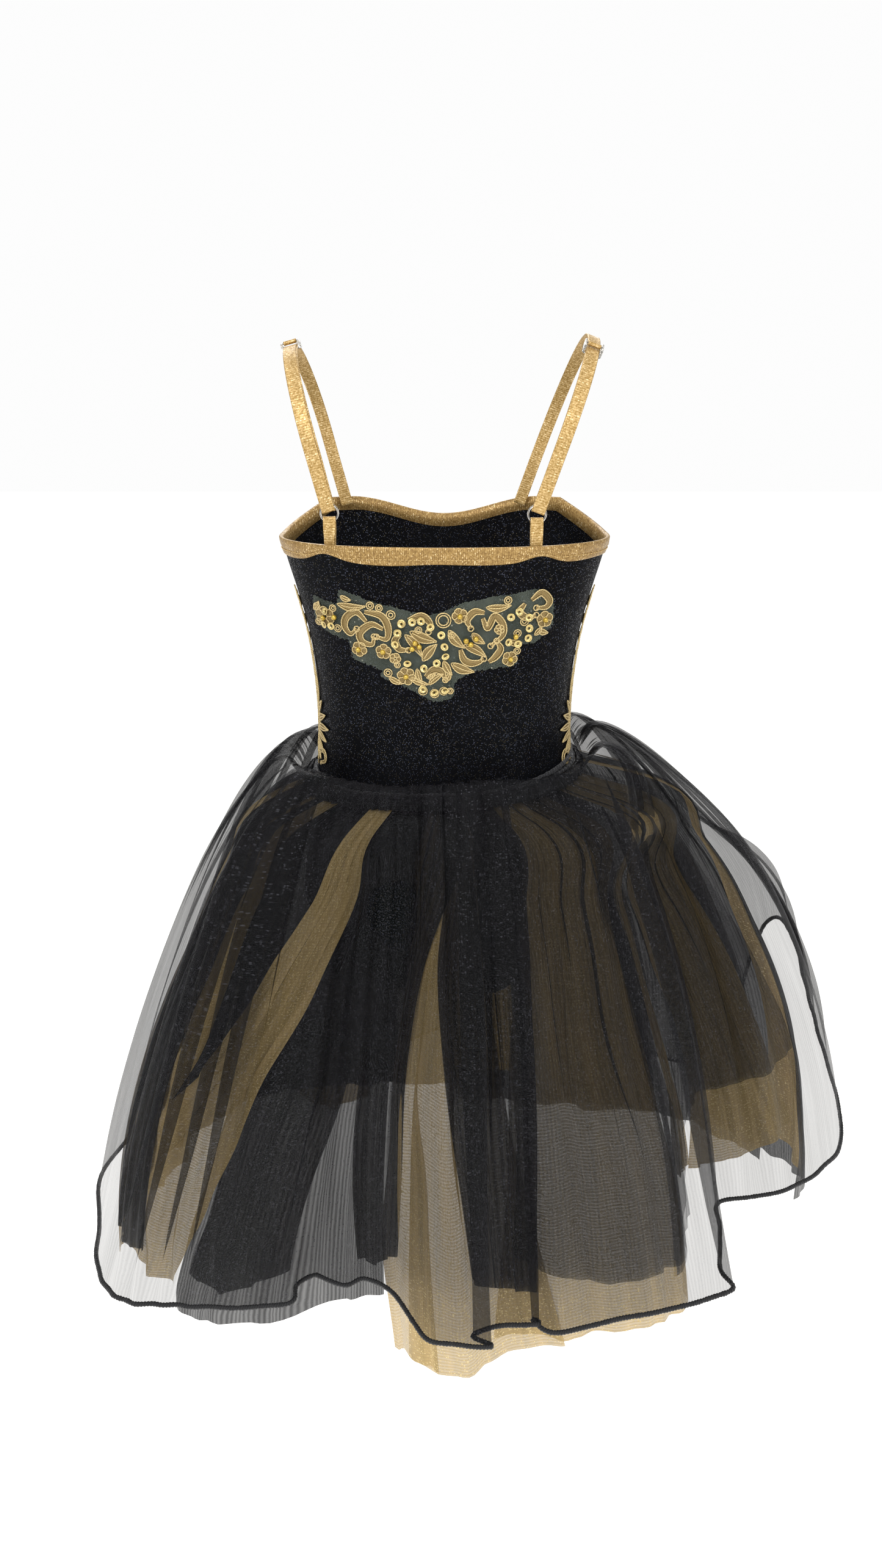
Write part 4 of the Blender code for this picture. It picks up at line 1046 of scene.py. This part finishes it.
def buildStrap(side, ringX, lean, top, sliderAngle):
    depth = ringDepth(ringX)
    outerY = depth + strap["loop"] / 2
    radius = (outerY + depth) / 2
    middleY, spring = outerY - radius, top - radius - strap["thick"] / 2
    tip = (math.sqrt((strap["ring"] - strap["wire"]) ** 2 - (strap["wide"] / 2) ** 2)
           - strap["play"] - strap["thick"] / 2)
    closing = strap["thick"] + strap["room"]
    inner, ends = radius - closing, math.radians(sliderAngle - 2)
    straight = np.linspace(spring, tip, 40)[:, None]
    front = np.stack([np.full(30, -depth), np.linspace(-strap["foot"], spring, 30)], 1)[:-1]
    outer = np.vstack([front, arcPoints(middleY, spring, radius, math.pi, 0, 90),
                       np.hstack([np.full_like(straight, outerY), straight])[1:]])
    hairpin = arcPoints(depth, tip, strap["loop"] / 2, 0, -math.pi, 9)[1:]
    climb = smoothLine([(depth - strap["loop"] / 2, tip), (depth - strap["loop"] / 2, tip + 4 * mm),
                        (outerY - closing, tip + 12 * mm), (outerY - closing, spring)], 2.5 * mm)[1:-1]
    path = np.vstack([outer, hairpin, climb, arcPoints(middleY, spring, inner, 0, ends, 40)])
    share = np.zeros(len(path))
    share[len(outer):] = np.minimum(1, np.linspace(0, 3, len(path) - len(outer)))
    # the return ply has slipped a little sideways on the wearer's left
    slip = strap["slip"][side] * share
    along = lengthAlong(path)
    wave = 0.18 * mm * np.sin(along / 0.021 + 1) * ease(along, 0.01, 0.05)
    line = inLean(np.stack([wave + slip, path[:, 0], path[:, 1]], 1), ringX, lean)
    across = inLean([(1, 0, 0)], ringX, lean)[0] - inLean([(0, 0, 0)], ringX, lean)[0]
    run = np.gradient(line, axis=0)
    facing = np.cross(np.broadcast_to(across, run.shape), run)
    body = f"strap_{side}"
    piece = addTubes(f"shoulderStrap{side.title()}",
                     [tubeMesh(line, 1.0, 14, False, facing,
                               profile=ribbonProfile(strap["wide"], strap["thick"]))],
                     strapElastic)
    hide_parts(body)
    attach(piece, body)
    # stitching: a double row on the right strap, a single row on the left one, along each strap's back run
    back = np.vstack([arcPoints(middleY, spring, radius, math.radians(sliderAngle - 7), 0, 50),
                      np.hstack([np.full_like(straight, outerY), straight])[1:-3]])
    cover = strap["thick"] * 0.5 + 0.06 * mm
    piece = addDashes(f"strapStitches{side.title()}", back, strap["stitchRows"][side], (ringX, lean), cover,
                      strap["dash"][side], strap["stitchGap"], 0.2 * mm)
    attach(piece, body)

    # clear slider: two side rails, two bars behind the strap and one in front with a fabric roll on it
    a = math.radians(sliderAngle)

    def local(points):  # x across, n out from the strap, s along it
        points = np.asarray(points, float)
        n, s = points[:, 1] + radius, points[:, 2]
        y, z = middleY + n * math.cos(a) - s * math.sin(a), spring + n * math.sin(a) + s * math.cos(a)
        return inLean(np.stack([points[:, 0], y, z], 1), ringX, lean)

    outFace = strap["thick"] / 2 + strap["room"] + 0.2 * mm
    inFace = -(strap["thick"] / 2 + closing + strap["room"] + 0.2 * mm)
    roll = strap["bar"] / math.sqrt(2) + strap["play"] + 0.5 * mm
    barN, half = outFace + roll, strap["half"] + strap["room"]
    low, high, long = inFace - strap["bar"], barN + strap["bar"] / 2, strap["slider"] / 2
    tubes = []
    for way in (-1, 1):
        x = way * (half + strap["rail"] / 2)
        mid = (low + high) / 2
        line = local([(x, mid, s) for s in np.linspace(-long, long, 9)])
        width, height = strap["rail"] / 2, (high - low) / 2
        corner = 0.45 * mm
        profile = np.array([(-width, -height + corner), (-width + corner, -height),
                            (width - corner, -height),
                            (width, -height + corner), (width, height - corner), (width - corner, height),
                            (-width + corner, height), (-width, height - corner)])
        out = local([(x, mid + 1 * mm, 0)])[0] - local([(x, mid, 0)])[0]
        tubes.append(tubeMesh(line, [0.8] + [1.0] * 7 + [0.8], 8, False, np.repeat([out], 9, 0),
                              profile=profile))
    for n, s in ((inFace - strap["bar"] / 2, -long + 0.6 * mm),
                 (inFace - strap["bar"] / 2, long - 0.6 * mm),
                 (barN, 0.0)):
        line = local([(x, n, s) for x in np.linspace(-half - 0.6 * mm, half + 0.6 * mm, 7)])
        tubes.append(tubeMesh(line, strap["bar"] * 0.52, 10))
    slider = addTubes(f"strapSlider{side.title()}", tubes, clearPlastic)
    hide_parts(f"slider_{side}")
    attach(slider, f"slider_{side}")
    # the ribbon's end, rolled round the front bar
    spiral = []
    for t in np.linspace(0, 1, 40):
        b = t * turn * 1.12
        r = roll - 0.28 * mm + 0.16 * mm * t
        spiral.append((0.0, barN + r * math.cos(b), r * math.sin(b)))
    line = local(spiral)
    run = np.gradient(line, axis=0)
    facing = np.cross(np.broadcast_to(across, run.shape), run)
    piece = addTubes(f"sliderFabricRoll{side.title()}",
                     [tubeMesh(line, 1.0, 14, False, facing,
                               profile=ribbonProfile(strap["wide"], 0.5 * mm))],
                     strapElastic)
    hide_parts(f"slider_loop_{side}")
    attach(piece, f"slider_{side}")

    # moulded ring, with its small gate mark
    around = np.arange(72) * turn / 72
    ringLine = np.stack([ringX + strap["ring"] * np.cos(around), np.full(72, depth),
                         strap["pivot"] + strap["ring"] * np.sin(around)], 1)
    wire = strap["wire"] * (1 + 0.10 * np.exp(-((around - 5.2) / 0.06) ** 2))
    piece = addTubes(f"strapRing{side.title()}", [tubeMesh(ringLine, wire, 12, True)], clearPlastic)
    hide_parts(f"ring_{side}")
    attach(piece, f"ring_{side}")

    # tab: up behind the binding, through the ring and down again
    reach = (math.sqrt((strap["ring"] - strap["wire"]) ** 2 - (strap["tab"] / 2) ** 2)
             - strap["play"] - strap["thick"] / 2)
    foot = torso["backNeck"] - strap["pivot"] - 9.0 * mm
    down = np.linspace(-6 * mm, foot, 24)
    near = strap["loop"] + (strap["sewn"] - strap["loop"]) * (down + 6 * mm) / (foot + 6 * mm)
    up = np.stack([near / 2, down], 1)[::-1]
    path = np.vstack([up, arcPoints(0.0, -reach - strap["loop"] / 2, strap["loop"] / 2, 0, math.pi, 9),
                      np.stack([-near / 2, down], 1)])
    spin = backTurn(ringX) * np.clip((-6 * mm - path[:, 1]) / (10 * mm), 0, 1)
    lineAt = np.stack([-path[:, 0] * np.sin(spin), path[:, 0] * np.cos(spin), path[:, 1]], 1)
    line = lineAt + np.array([ringX, depth, strap["pivot"]])
    sideways = np.stack([np.cos(spin), np.sin(spin), np.zeros_like(spin)], 1)
    facing = np.cross(sideways, np.gradient(line, axis=0))
    piece = addTubes(f"ringTab{side.title()}",
                     [tubeMesh(line, 1.0, 14, False, facing,
                               profile=ribbonProfile(strap["tab"], strap["thick"]))],
                     strapElastic)
    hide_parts(f"ring_tab_{side}")
    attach(piece, "bodice")


# ---- skirt
skirt = {
    "hem": -0.670,
    # step, height, half width at the wearer's left and right, half depth behind and in front
    "net": ((0, -0.3065, .1072, .1072, .0892, .0892), (1, -0.2880, .1210, .1260, .0990, .1000),
            (2, -0.3140, .1480, .1760, .1150, .1240), (3, -0.3740, .1860, .2400, .1340, .1460),
            (4, -0.4620, .2270, .2930, .1560, .1740), (5, -0.5700, .2680, .3380, .1790, .1980),
            (6, -0.6700, .2970, .3640, .2040, .2200)),
    "panel": ((-0.3100, .1070, .1070, .0900, .0900), (-0.3140, .1180, .1200, .0980, .0990),
              (-0.3260, .1420, .1680, .1080, .1170), (-0.3800, .1780, .2310, .1260, .1380),
              (-0.4640, .2180, .2840, .1460, .1650), (-0.5700, .2580, .3280, .1680, .1880),
              (-0.6600, .2800, .3450, .1860, .2020), (-0.7600, .2930, .3540, .2000, .2120)),
    # the hem's own path, with the folds that lie back on themselves: X, Y, height
    "hemPath": ((.297, .02, -.67), (.284, .066, -.672), (.268, .125, -.674), (.240, .160, -.672),
                (.185, .1675, -.67), (.1185, .167, -.67), (.112, .150, -.668), (.100, .139, -.668),
                (.094, .1375, -.67), (.075, .147, -.67), (.060, .141, -.669), (.038, .156, -.669),
                (.022, .185, -.67), (.010, .200, -.671), (-.012, .2015, -.673), (-.034, .202, -.673),
                (-.020, .192, -.671), (-.045, .188, -.669), (-.069, .1855, -.67), (-.064, .180, -.671),
                (-.08, .190, -.672), (-.13, .180, -.67), (-.18, .166, -.67), (-.217, .152, -.67),
                (-.213, .130, -.67), (-.222, .090, -.668), (-.229, .058, -.667), (-.28, .045, -.668),
                (-.33, .010, -.67), (-.366, -.045, -.668), (-.350, -.082, -.60), (-.318, -.098, -.50),
                (-.300, -.122, -.500), (-.285, -.145, -.600), (-.262, -.165, -.668), (-.232, -.162, -.672),
                (-.205, -.186, -.672), (-.165, -.176, -.668), (-.140, -.206, -.672), (-.098, -.192, -.674),
                (-.070, -.220, -.672), (-.030, -.202, -.668), (.000, -.222, -.670), (.040, -.202, -.673),
                (.072, -.216, -.672), (.108, -.188, -.668), (.142, -.198, -.672), (.172, -.170, -.672),
                (.206, -.172, -.668), (.228, -.138, -.672), (.262, -.128, -.672), (.268, -.092, -.668),
                (.292, -.066, -.672), (.286, -.030, -.670)),
}


def hang(piece, slot, *nodes):
    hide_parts(*nodes)
    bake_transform(piece)


def softened(values, share):  # a running average round a closed line
    count = len(values)
    reach = np.arange(count)
    reach = np.minimum(reach, count - reach) / count
    weight = np.exp(-0.5 * (reach / share) ** 2)
    return np.real(np.fft.ifft(np.fft.fft(values) * np.fft.fft(weight / weight.sum())))


def buildNet():
    look = {"step": 2.2 * mm, "rows": 76, "fine": 1.6 * mm, "medium": 2.0 * mm, "pleats": 40,
            "lie": ((0, .5, 1, 2, 3, 4.5, 5.5, 6), (.5, 1.6, 2.4, 2.6, 2.2, 1.3, .6, .0)),
            "crest": ((0, .5, 1, 2, 3, 4.5, 5.5, 6), (0, 1.5, 2.5, 3.6, 4.6, 4.6, 3.0, 0.8))}
    hem = smoothLine(np.array(skirt["hemPath"]), look["step"], True)
    count = len(hem)
    u = np.arange(count) / count
    hemAngle = np.unwrap(np.arctan2(hem[:, 1], hem[:, 0]))
    calm = softened(hemAngle - turn * u, 0.022) + turn * u
    table = np.array(skirt["net"])
    last = table[-1]
    base = superRadius(hemAngle, np.where(np.cos(hemAngle) > 0, last[2], last[3]),
                       np.where(np.sin(hemAngle) > 0, last[4], last[5]))
    ratio = np.hypot(hem[:, 0], hem[:, 1]) / base
    t = np.concatenate([np.linspace(0, 2, 22)[:-1], np.linspace(2, 6, look["rows"] - 21)])
    grow = ease(t, 1.0, 3.2)[:, None]
    shift = ease(t, 1.2, 4.2)[:, None]
    angle = calm[None] * (1 - shift) + hemAngle[None] * shift
    rows = readRows(table, t)
    halfX = np.where(np.cos(angle) > 0, rows[:, 1][:, None], rows[:, 2][:, None])
    halfY = np.where(np.sin(angle) > 0, rows[:, 3][:, None], rows[:, 4][:, None])
    fine = look["fine"] * (wander(u, 41, 70) + 0.7 * wander(u, 42, 110))
    fineShare = (ease(t, 0.0, 0.6) * (1 - ease(t, 2.0, 4.5)))[:, None]
    medium = look["medium"] * (wander(u, 43, 26) + 0.6 * wander(u, 44, 40))
    mediumShare = (ease(t, 0.8, 2.4) * (1 - 0.55 * ease(t, 4.5, 6.0)))[:, None]
    # soft pleats that lie back on themselves, close at the waist and opening towards the hem
    pleats = look["pleats"]
    phase = turn * (pleats * u + 0.9 * wander(u, 61, 7)) [None] + 0.5 * np.sin(1.3 * t)[:, None]
    uneven = (0.62 + 0.45 * wander(u, 62, 9))[None]
    lie = np.interp(t, *look["lie"])[:, None] * uneven / pleats
    angle = angle + lie * np.sin(phase)
    radius = superRadius(angle, halfX, halfY) * (1 + (ratio[None] - 1) * grow)
    radius = radius + np.interp(t, *look["crest"])[:, None] * mm * uneven * np.cos(phase)
    radius = radius + fine[None] * fineShare + medium[None] * mediumShare - 0.5 * mm
    drop = (hem[:, 2] - skirt["hem"])[None] * ease(t, 2.6, 6.0)[:, None]
    puff = 5.0 * mm * wander(u, 45, 12)[None] * (ease(t, 0, 1) * (1 - ease(t, 1.2, 2.6)))[:, None]
    z = rows[:, 0][:, None] + drop + puff + waistLift(angle) * (1 - ease(t, 0.2, 2.6))[:, None]
    grid = np.stack([radius * np.cos(angle), radius * np.sin(angle), z], -1)
    down = lengthAlong(grid[:, 0])
    length = count * look["step"]
    cloth = np.stack(np.broadcast_arrays((u * length)[None], down[:, None]), -1)
    net = addSheet("outerNet", grid, cloth, blackNet, wrap=True)
    hang(net, "black_net", "skirt_net")
    line = smoothLine(grid[-1], 0.8 * mm, True)
    v = np.arange(len(line)) / len(line)
    stitches = int(len(line) * 0.8 / 2.4)
    thick = 1.75 * mm * (1 + 0.14 * np.sin(turn * stitches * v) + 0.05 * wander(v, 47, 300))
    cord = addTubes("hemOverlockCord", [tubeMesh(line - np.array([0, 0, 1.2 * mm]), thick, 8, True)],
                    overlock)
    hang(cord, "black_net", "hem_overlock")
    return length


def hemPull():  # how far in the net's folds bring the hem, by direction
    hem = smoothLine(np.array(skirt["hemPath"]), 3 * mm, True)
    last = skirt["net"][-1]
    angle = np.arctan2(hem[:, 1], hem[:, 0])
    base = superRadius(angle, np.where(np.cos(angle) > 0, last[2], last[3]),
                       np.where(np.sin(angle) > 0, last[4], last[5]))
    ratio = np.hypot(hem[:, 0], hem[:, 1]) / base
    bins = (np.floor(angle / turn * 120).astype(int)) % 120
    least = np.array([ratio[bins == b].min() if (bins == b).any() else 1.0 for b in range(120)])
    return np.minimum(softened(least, 0.012), 1.0)


pull = hemPull()


def skirtAt(key, angle, out):  # where the inner layers hang: height, direction in the round, inset
    rows = readRows(skirt["panel"], key)
    p = torso["power"]
    rho = (np.abs(np.cos(angle)) ** p + np.abs(np.sin(angle)) ** p) ** (-1 / p)
    halfX = np.where(np.cos(angle) > 0, rows[..., 0], rows[..., 1]) + out
    halfY = np.where(np.sin(angle) > 0, rows[..., 2], rows[..., 3]) + out
    x, y = halfX * rho * np.cos(angle), halfY * rho * np.sin(angle)
    place = (np.arctan2(y, x) / turn) % 1 * len(pull) - 0.5
    inward = np.interp(place, np.arange(-1, len(pull) + 1), [pull[-1], *pull, pull[0]])
    scale = 1 + (inward - 1) * ease(-np.asarray(key), 0.30, 0.40)
    return np.stack([x * scale, y * scale, key], -1)


strip = {"rows": 64, "sewnRows": 12, "sewnShare": 0.06, "columns": 40, "top": -0.3085,
         "lie": (1.9, 1.3),  # at the top the pleats lie back on themselves, and open by the second value
         "fold": (0.8, 1.8), "curl": 0.6 * mm,
         "under": 3.0 * mm}  # fold depth in mm at the top, and its gain


def buildStrip(name, node, edges, ends, inset, pleats, seed, finish, slot):
    # edges: height, left and right direction in degrees; ends: the raw end's height across the strip
    draw = random.Random(seed)
    rowCount, columns, top = strip["rows"], strip["columns"], strip["top"]
    k = np.linspace(0, 1, columns)[None]
    phases = [draw.uniform(0, turn) for _ in range(4)]
    close = 2 * pleats
    lands = k + (0.6 / (turn * close) * np.sin(turn * close * k + phases[2] + 0.8 * math.sin(3))
                 * np.sin(math.pi * k))
    bottom = readRows(np.array([(share, end) for share, end in zip(np.linspace(0, 1, len(ends)), ends)]),
                      lands)[..., 0]
    bottom = bottom + 0.8 * mm * np.sin(lands * 13 + seed) + 0.3 * mm * np.sin(lands * 31 + 2 * seed)
    s = np.concatenate([np.linspace(0, strip["sewnShare"], strip["sewnRows"])[:-1],
                        np.linspace(strip["sewnShare"], 1, rowCount - strip["sewnRows"] + 1)])[:, None]
    z = top + (bottom - top) * s
    table = np.array(edges, float)
    sides = readRows(table, z)
    lie = strip["lie"][0] - strip["lie"][1] * ease(s, 0.1, 0.95)  # above 1 they lie back on themselves
    place = k + (lie / (turn * close) * np.sin(turn * close * k + phases[2] + 0.8 * np.sin(3 * s))
                 * np.sin(math.pi * k))
    angle = np.radians(sides[..., 0] * (1 - place) + sides[..., 1] * place)
    drift = 0.25 * np.sin(3.2 * s + phases[3])
    lean = angle + 0.05 * np.sin(9 * z)  # every strip shares these folds, so that the plies nest
    fold = np.sin(31 * lean + 0.7) + 0.6 * np.sin(47 * lean + 2.1) + 0.4 * np.sin(83 * lean + 0.6 * drift)
    depth = (strip["fold"][0] + strip["fold"][1] * ease(-z, 0.33, 0.60)) * mm
    curl = -strip["curl"] * ease(s, 0.75, 1.0) * np.cos(turn * 0.7 * k + phases[1])
    angle = angle + np.radians(0.6) * np.sin(turn * pleats * k + phases[1]) * ease(s, 0.1, 0.5)
    grid = skirtAt(z, angle, -inset + depth * fold - strip["under"] + curl)
    grid[..., 2] += waistLift(angle) * (1 - ease(-z, 0.312,
                                                 0.400))  # one tilt for every strip
    across = np.linalg.norm(np.diff(grid, axis=1), axis=2)
    wide = np.concatenate([np.zeros((rowCount, 1)), np.cumsum(across, axis=1)], axis=1)
    down = lengthAlong(grid[:, columns // 2])
    full = wide[-1, -1]
    cloth = np.stack(np.broadcast_arrays(k * full + seed * 0.13, down[:, None]), -1)
    piece = addSheet(name, grid, cloth, finish)
    hang(piece, slot, node)


gold = {
    1: (((-.31, 24, 32), (-.336, 21, 28), (-.395, 13, 21), (-.467, 6, 14), (-.56, -9, 10), (-.70, -24, 9)),
        (-.668, -.678, -.690)),
    2: (((-.31, 38, 46), (-.326, 36, 43), (-.382, 34.5, 41), (-.45, 34, 40), (-.512, 29, 38),
         (-.586, 10, 31),
         (-.70, 0, 27)), (-.686, -.692, -.690)),
    3: (((-.31, 61, 70), (-.326, 60, 68), (-.382, 55, 63), (-.417, 52, 61), (-.459, 48, 59),
         (-.506, 42, 55.5),
         (-.556, 33, 53), (-.645, 16, 47), (-.70, 12, 42)), (-.686, -.690, -.690, -.692, -.688)),
    4: (((-.31, 80, 90), (-.41, 80, 88), (-.462, 78, 86), (-.522, 76, 84.5), (-.579, 76, 87),
         (-.64, 75, 88), (-.75, 79, 90)), (-.744, -.738, -.731, -.730, -.732)),
    5: (((-.31, 88, 97), (-.41, 87, 97), (-.53, 83.5, 99), (-.64, 83.5, 103), (-.74, 84, 107)),
        (-.731, -.734, -.730, -.722, -.716, -.708)),
    6: (((-.31, 107, 133), (-.33, 107, 131), (-.40, 104, 125), (-.48, 101, 124.5), (-.56, 100, 126),
         (-.62, 99, 130), (-.72, 97, 133)), (-.704, -.706, -.708, -.711, -.714)),
    7: (((-.31, 142, 150), (-.33, 141, 148), (-.373, 134, 143), (-.44, 134.5, 140.5), (-.51, 135, 142),
         (-.54, 136, 145), (-.66, 130, 150)), (-.612, -.622, -.628)),
    8: (((-.31, 150, 168), (-.38, 148, 170), (-.44, 148, 172), (-.51, 150, 174), (-.66, 148, 184)),
        (-.632, -.640, -.636)),
}
black = {
    1: (((-.31, 0, 27), (-.336, -4, 24), (-.395, -8, 17), (-.467, -12, 10), (-.60, -20, 4), (-.67, -22, 2)),
        (-.632, -.628, -.640)),
    2: (((-.31, 22, 62), (-.382, 17, 55), (-.454, 12, 48), (-.526, 3, 39), (-.60, -6, 23), (-.66, -10, 14)),
        (-.640, -.618, -.604, -.600)),
    3: (((-.31, 64, 79), (-.382, 60, 73), (-.46, 56, 68), (-.54, 52, 65), (-.60, 50, 62), (-.70, 45, 60)),
        (-.672, -.680, -.664)),
    4: (((-.31, 62, 84), (-.382, 58, 79), (-.46, 54, 76), (-.54, 50, 75), (-.60, 48, 75), (-.70, 44, 76)),
        (-.706, -.707, -.705, -.696)),
    5: (((-.31, 74, 98), (-.36, 73, 92), (-.43, 71, 84), (-.50, 69, 80.5), (-.60, 69, 80), (-.68, 71, 79)),
        (-.668, -.672, -.660)),
    6: (((-.31, 88, 109), (-.35, 90, 107), (-.42, 88, 105), (-.50, 89.5, 104), (-.60, 92, 103),
         (-.69, 94, 103)),
        (-.650, -.662, -.668)),
    7: (((-.31, 102, 140), (-.35, 102, 136), (-.41, 102, 132), (-.47, 102, 130), (-.56, 101, 137),
         (-.68, 100, 144)),
        (-.640, -.662, -.668, -.668, -.664)),
    8: (((-.31, 122, 172), (-.35, 122, 174), (-.40, 123, 178), (-.48, 123, 182), (-.56, 124, 186),
         (-.66, 125, 190)),
        (-.680, -.640, -.575, -.568, -.572, -.566)),
}


def buildStrips():
    for number, (edges, ends) in gold.items():
        # the first three lie over the black, the others show through it
        buildStrip(f"goldStrip{number:02d}", f"gold_panel_{number:02d}", edges, ends,
                   (5.5 if number < 4 else 11.5) * mm,
                   2.4 if number in (3, 6) else 1.6, number, goldOrganza, "gold_organza")
    for number, (edges, ends) in black.items():
        buildStrip(f"blackStrip{number:02d}", f"black_panel_{number:02d}", edges, ends,
                   8.0 * mm + 1.6 * mm * (number % 2),
                   3.4, 20 + number, blackVoile if number in (1, 7, 8) else blackOrganza, "black_organza")
    draw = random.Random(77)  # the strips round the front, alternately wide and narrow
    for number in range(9, 17):
        middle = 168 + 24.5 * (number - 8)
        wide = (7.5, 10.5, 8.0, 12.0)[number % 4]
        for word, centre, half, inset, finish in (
            ("gold", middle, wide * 0.65, 2 * mm if number % 3 else 8 * mm, goldOrganza),
            ("black", middle + 12, 15.0, 4 * mm + 2 * mm * (number % 2), blackOrganza),
        ):
            lean = draw.uniform(-3, 3)
            edges = ((-.31, centre - half * 0.8, centre + half * 0.8),
                     (-.45, centre - half + lean, centre + half + lean),
                     (-.70, centre - half * 1.25 + 1.6 * lean, centre + half * 1.25 + 1.6 * lean))
            low = -.722 - draw.uniform(-0.024, 0.018)
            ends = (low, low - draw.uniform(-0.010, 0.020), max(low + draw.uniform(-0.020, 0.024), -.74))
            ends = tuple(max(end, -.745) for end in ends)
            buildStrip(f"{word}Strip{number:02d}", f"{word}_panel_{number:02d}", edges, ends, inset, 2.2,
                       40 + number + (word == "gold") * 20, finish, f"{word}_organza")


def buildHeader():  # the skirt's gathered head, drawn up in small uneven pleats
    steps = 900
    u = np.arange(steps) / steps
    angle = u * turn
    pleat = 1.1 * mm * (wander(u, 51, 90) + 0.5 * wander(u, 52, 170))
    frill = 1.6 * mm * wander(u, 53, 60)
    lift = waistLift(angle)
    rows = [torsoAt(angle, torso["waist"] + 1.0 * mm + lift, 4.2 * mm),
            torsoAt(angle, torso["waist"] + 3.2 * mm + frill * 0.5 + lift, 5.8 * mm + pleat * 0.5),
            torsoAt(angle, torso["waist"] + 1.2 * mm + lift, 8.2 * mm + pleat),
            torsoAt(angle, torso["waist"] - 2.5 * mm + lift, 8.6 * mm + pleat * 1.2),
            torsoAt(angle, torso["waist"] - 5.8 * mm + lift, 8.8 * mm + pleat * 1.2)]
    grid = np.stack(rows)
    cloth = np.stack(np.broadcast_arrays((u * 2.4)[None], np.linspace(0, 0.02, len(rows))[:, None]), -1)
    piece = addShell("skirtHeader", grid, 0.7 * mm, cloth, blackHeader, wrap=True)
    hang(piece, "black_organza", "skirt_gathers")


# ---- build
# the same organza drawn up into a dense frill: almost nothing shows through it
blackHeader = sheerCloth("gatheredBlackOrganza", {
    **organza, "hides": 0.97, "streakDepth": 0.04, "lineDepth": 0.02, "streak": 6 * mm,
    "streakRun": 60 * mm, "tint": "#121215", "speck": "#5A5A60", "speckShare": 0.24, "sheen": 0.04,
    "rough": 0.45})
print("leotard")
buildBodice()
buildBrief()
buildBinding()
buildWaistRoll()
print("lace")
buildApplique()
buildFrontLace()
buildSideLace()
print("straps")
for oneStrap in strap["sides"]:
    buildStrap(*oneStrap)
print("skirt")
buildHeader()
hemLength = buildNet()
buildStrips()
print(f"hem {hemLength:.2f} m")


# ---- floor, light and camera
def buildStage():
    look = {"floor": "#F6F5F3", "floorZ": -1.12, "world": "#FFFFFF", "worldStrength": 0.62,
            "backdrop": 0.98,
            # place, aim height, size in metres, watts
            "lights": (((0.9, 1.7, 0.9), -0.35, 1.2, 26), ((-1.1, 1.5, 0.6), -0.35, 1.4, 16),
                       ((0.2, -1.8, 1.0), -0.35, 1.6, 20), ((0.0, 0.3, 1.9), -0.35, 1.4, 16))}
    work = bmesh.new()
    bmesh.ops.create_grid(work, x_segments=1, y_segments=1, size=14)
    mesh = bpy.data.meshes.new("paleFloor")
    work.to_mesh(mesh)
    work.free()
    floor = bpy.data.objects.new("paleFloor", mesh)
    floor.location.z = look["floorZ"]
    material = bpy.data.materials.new("mattWhiteBoard")
    material.use_nodes = True
    shader = material.node_tree.nodes["Principled BSDF"]
    shader.inputs["Base Color"].default_value = linear(look["floor"])
    shader.inputs["Roughness"].default_value = 0.9
    shader.inputs["Emission Color"].default_value = linear(look["floor"])
    shader.inputs["Emission Strength"].default_value = 0.5
    mesh.materials.append(material)
    bpy.context.scene.collection.objects.link(floor)
    for number, (place, aim, size, power) in enumerate(look["lights"]):
        light = bpy.data.lights.new(f"softLight{number}", "AREA")
        light.size, light.energy = size, power
        lamp = bpy.data.objects.new(f"softLight{number}", light)
        lamp.location = place
        lamp.rotation_euler = (Vector((0, 0, aim)) - Vector(place)).to_track_quat("-Z", "Y").to_euler()
        bpy.context.scene.collection.objects.link(lamp)
    world = bpy.data.worlds.new("studio")
    world.use_nodes = True
    sky = world.node_tree.nodes["Background"]
    sky.inputs["Color"].default_value = linear(look["world"])
    sky.inputs["Strength"].default_value = look["worldStrength"]
    # the backdrop is white to look at, and lights the cloth less than it shows
    tree = world.node_tree
    seen, sight, mix = (tree.nodes.new(kind) for kind in (
        "ShaderNodeBackground", "ShaderNodeLightPath", "ShaderNodeMixShader"))
    seen.inputs["Strength"].default_value = look["backdrop"]
    seen.inputs["Color"].default_value = linear(look["world"])
    tree.links.new(sight.outputs["Is Camera Ray"], mix.inputs[0])
    tree.links.new(sky.outputs[0], mix.inputs[1])
    tree.links.new(seen.outputs[0], mix.inputs[2])
    tree.links.new(mix.outputs[0], tree.nodes["World Output"].inputs["Surface"])
    bpy.context.scene.world = world
    bpy.context.scene.view_settings.view_transform = "Standard"
    bpy.context.scene.cycles.transparent_max_bounces = 32


def buildCamera():
    look = {"place": (0.0025, 0.825, -0.0405), "down": 18.8, "lens": 25.70}
    lens = bpy.data.cameras.new("studioCamera")
    lens.lens, lens.sensor_width, lens.clip_start = look["lens"], 36.0, 0.01
    camera = bpy.data.objects.new("studioCamera", lens)
    camera.location = look["place"]
    camera.rotation_euler = (math.radians(90 - look["down"]), 0, math.radians(180))
    bpy.context.scene.collection.objects.link(camera)
    bpy.context.scene.camera = camera


print("stage")
buildStage()
buildCamera()
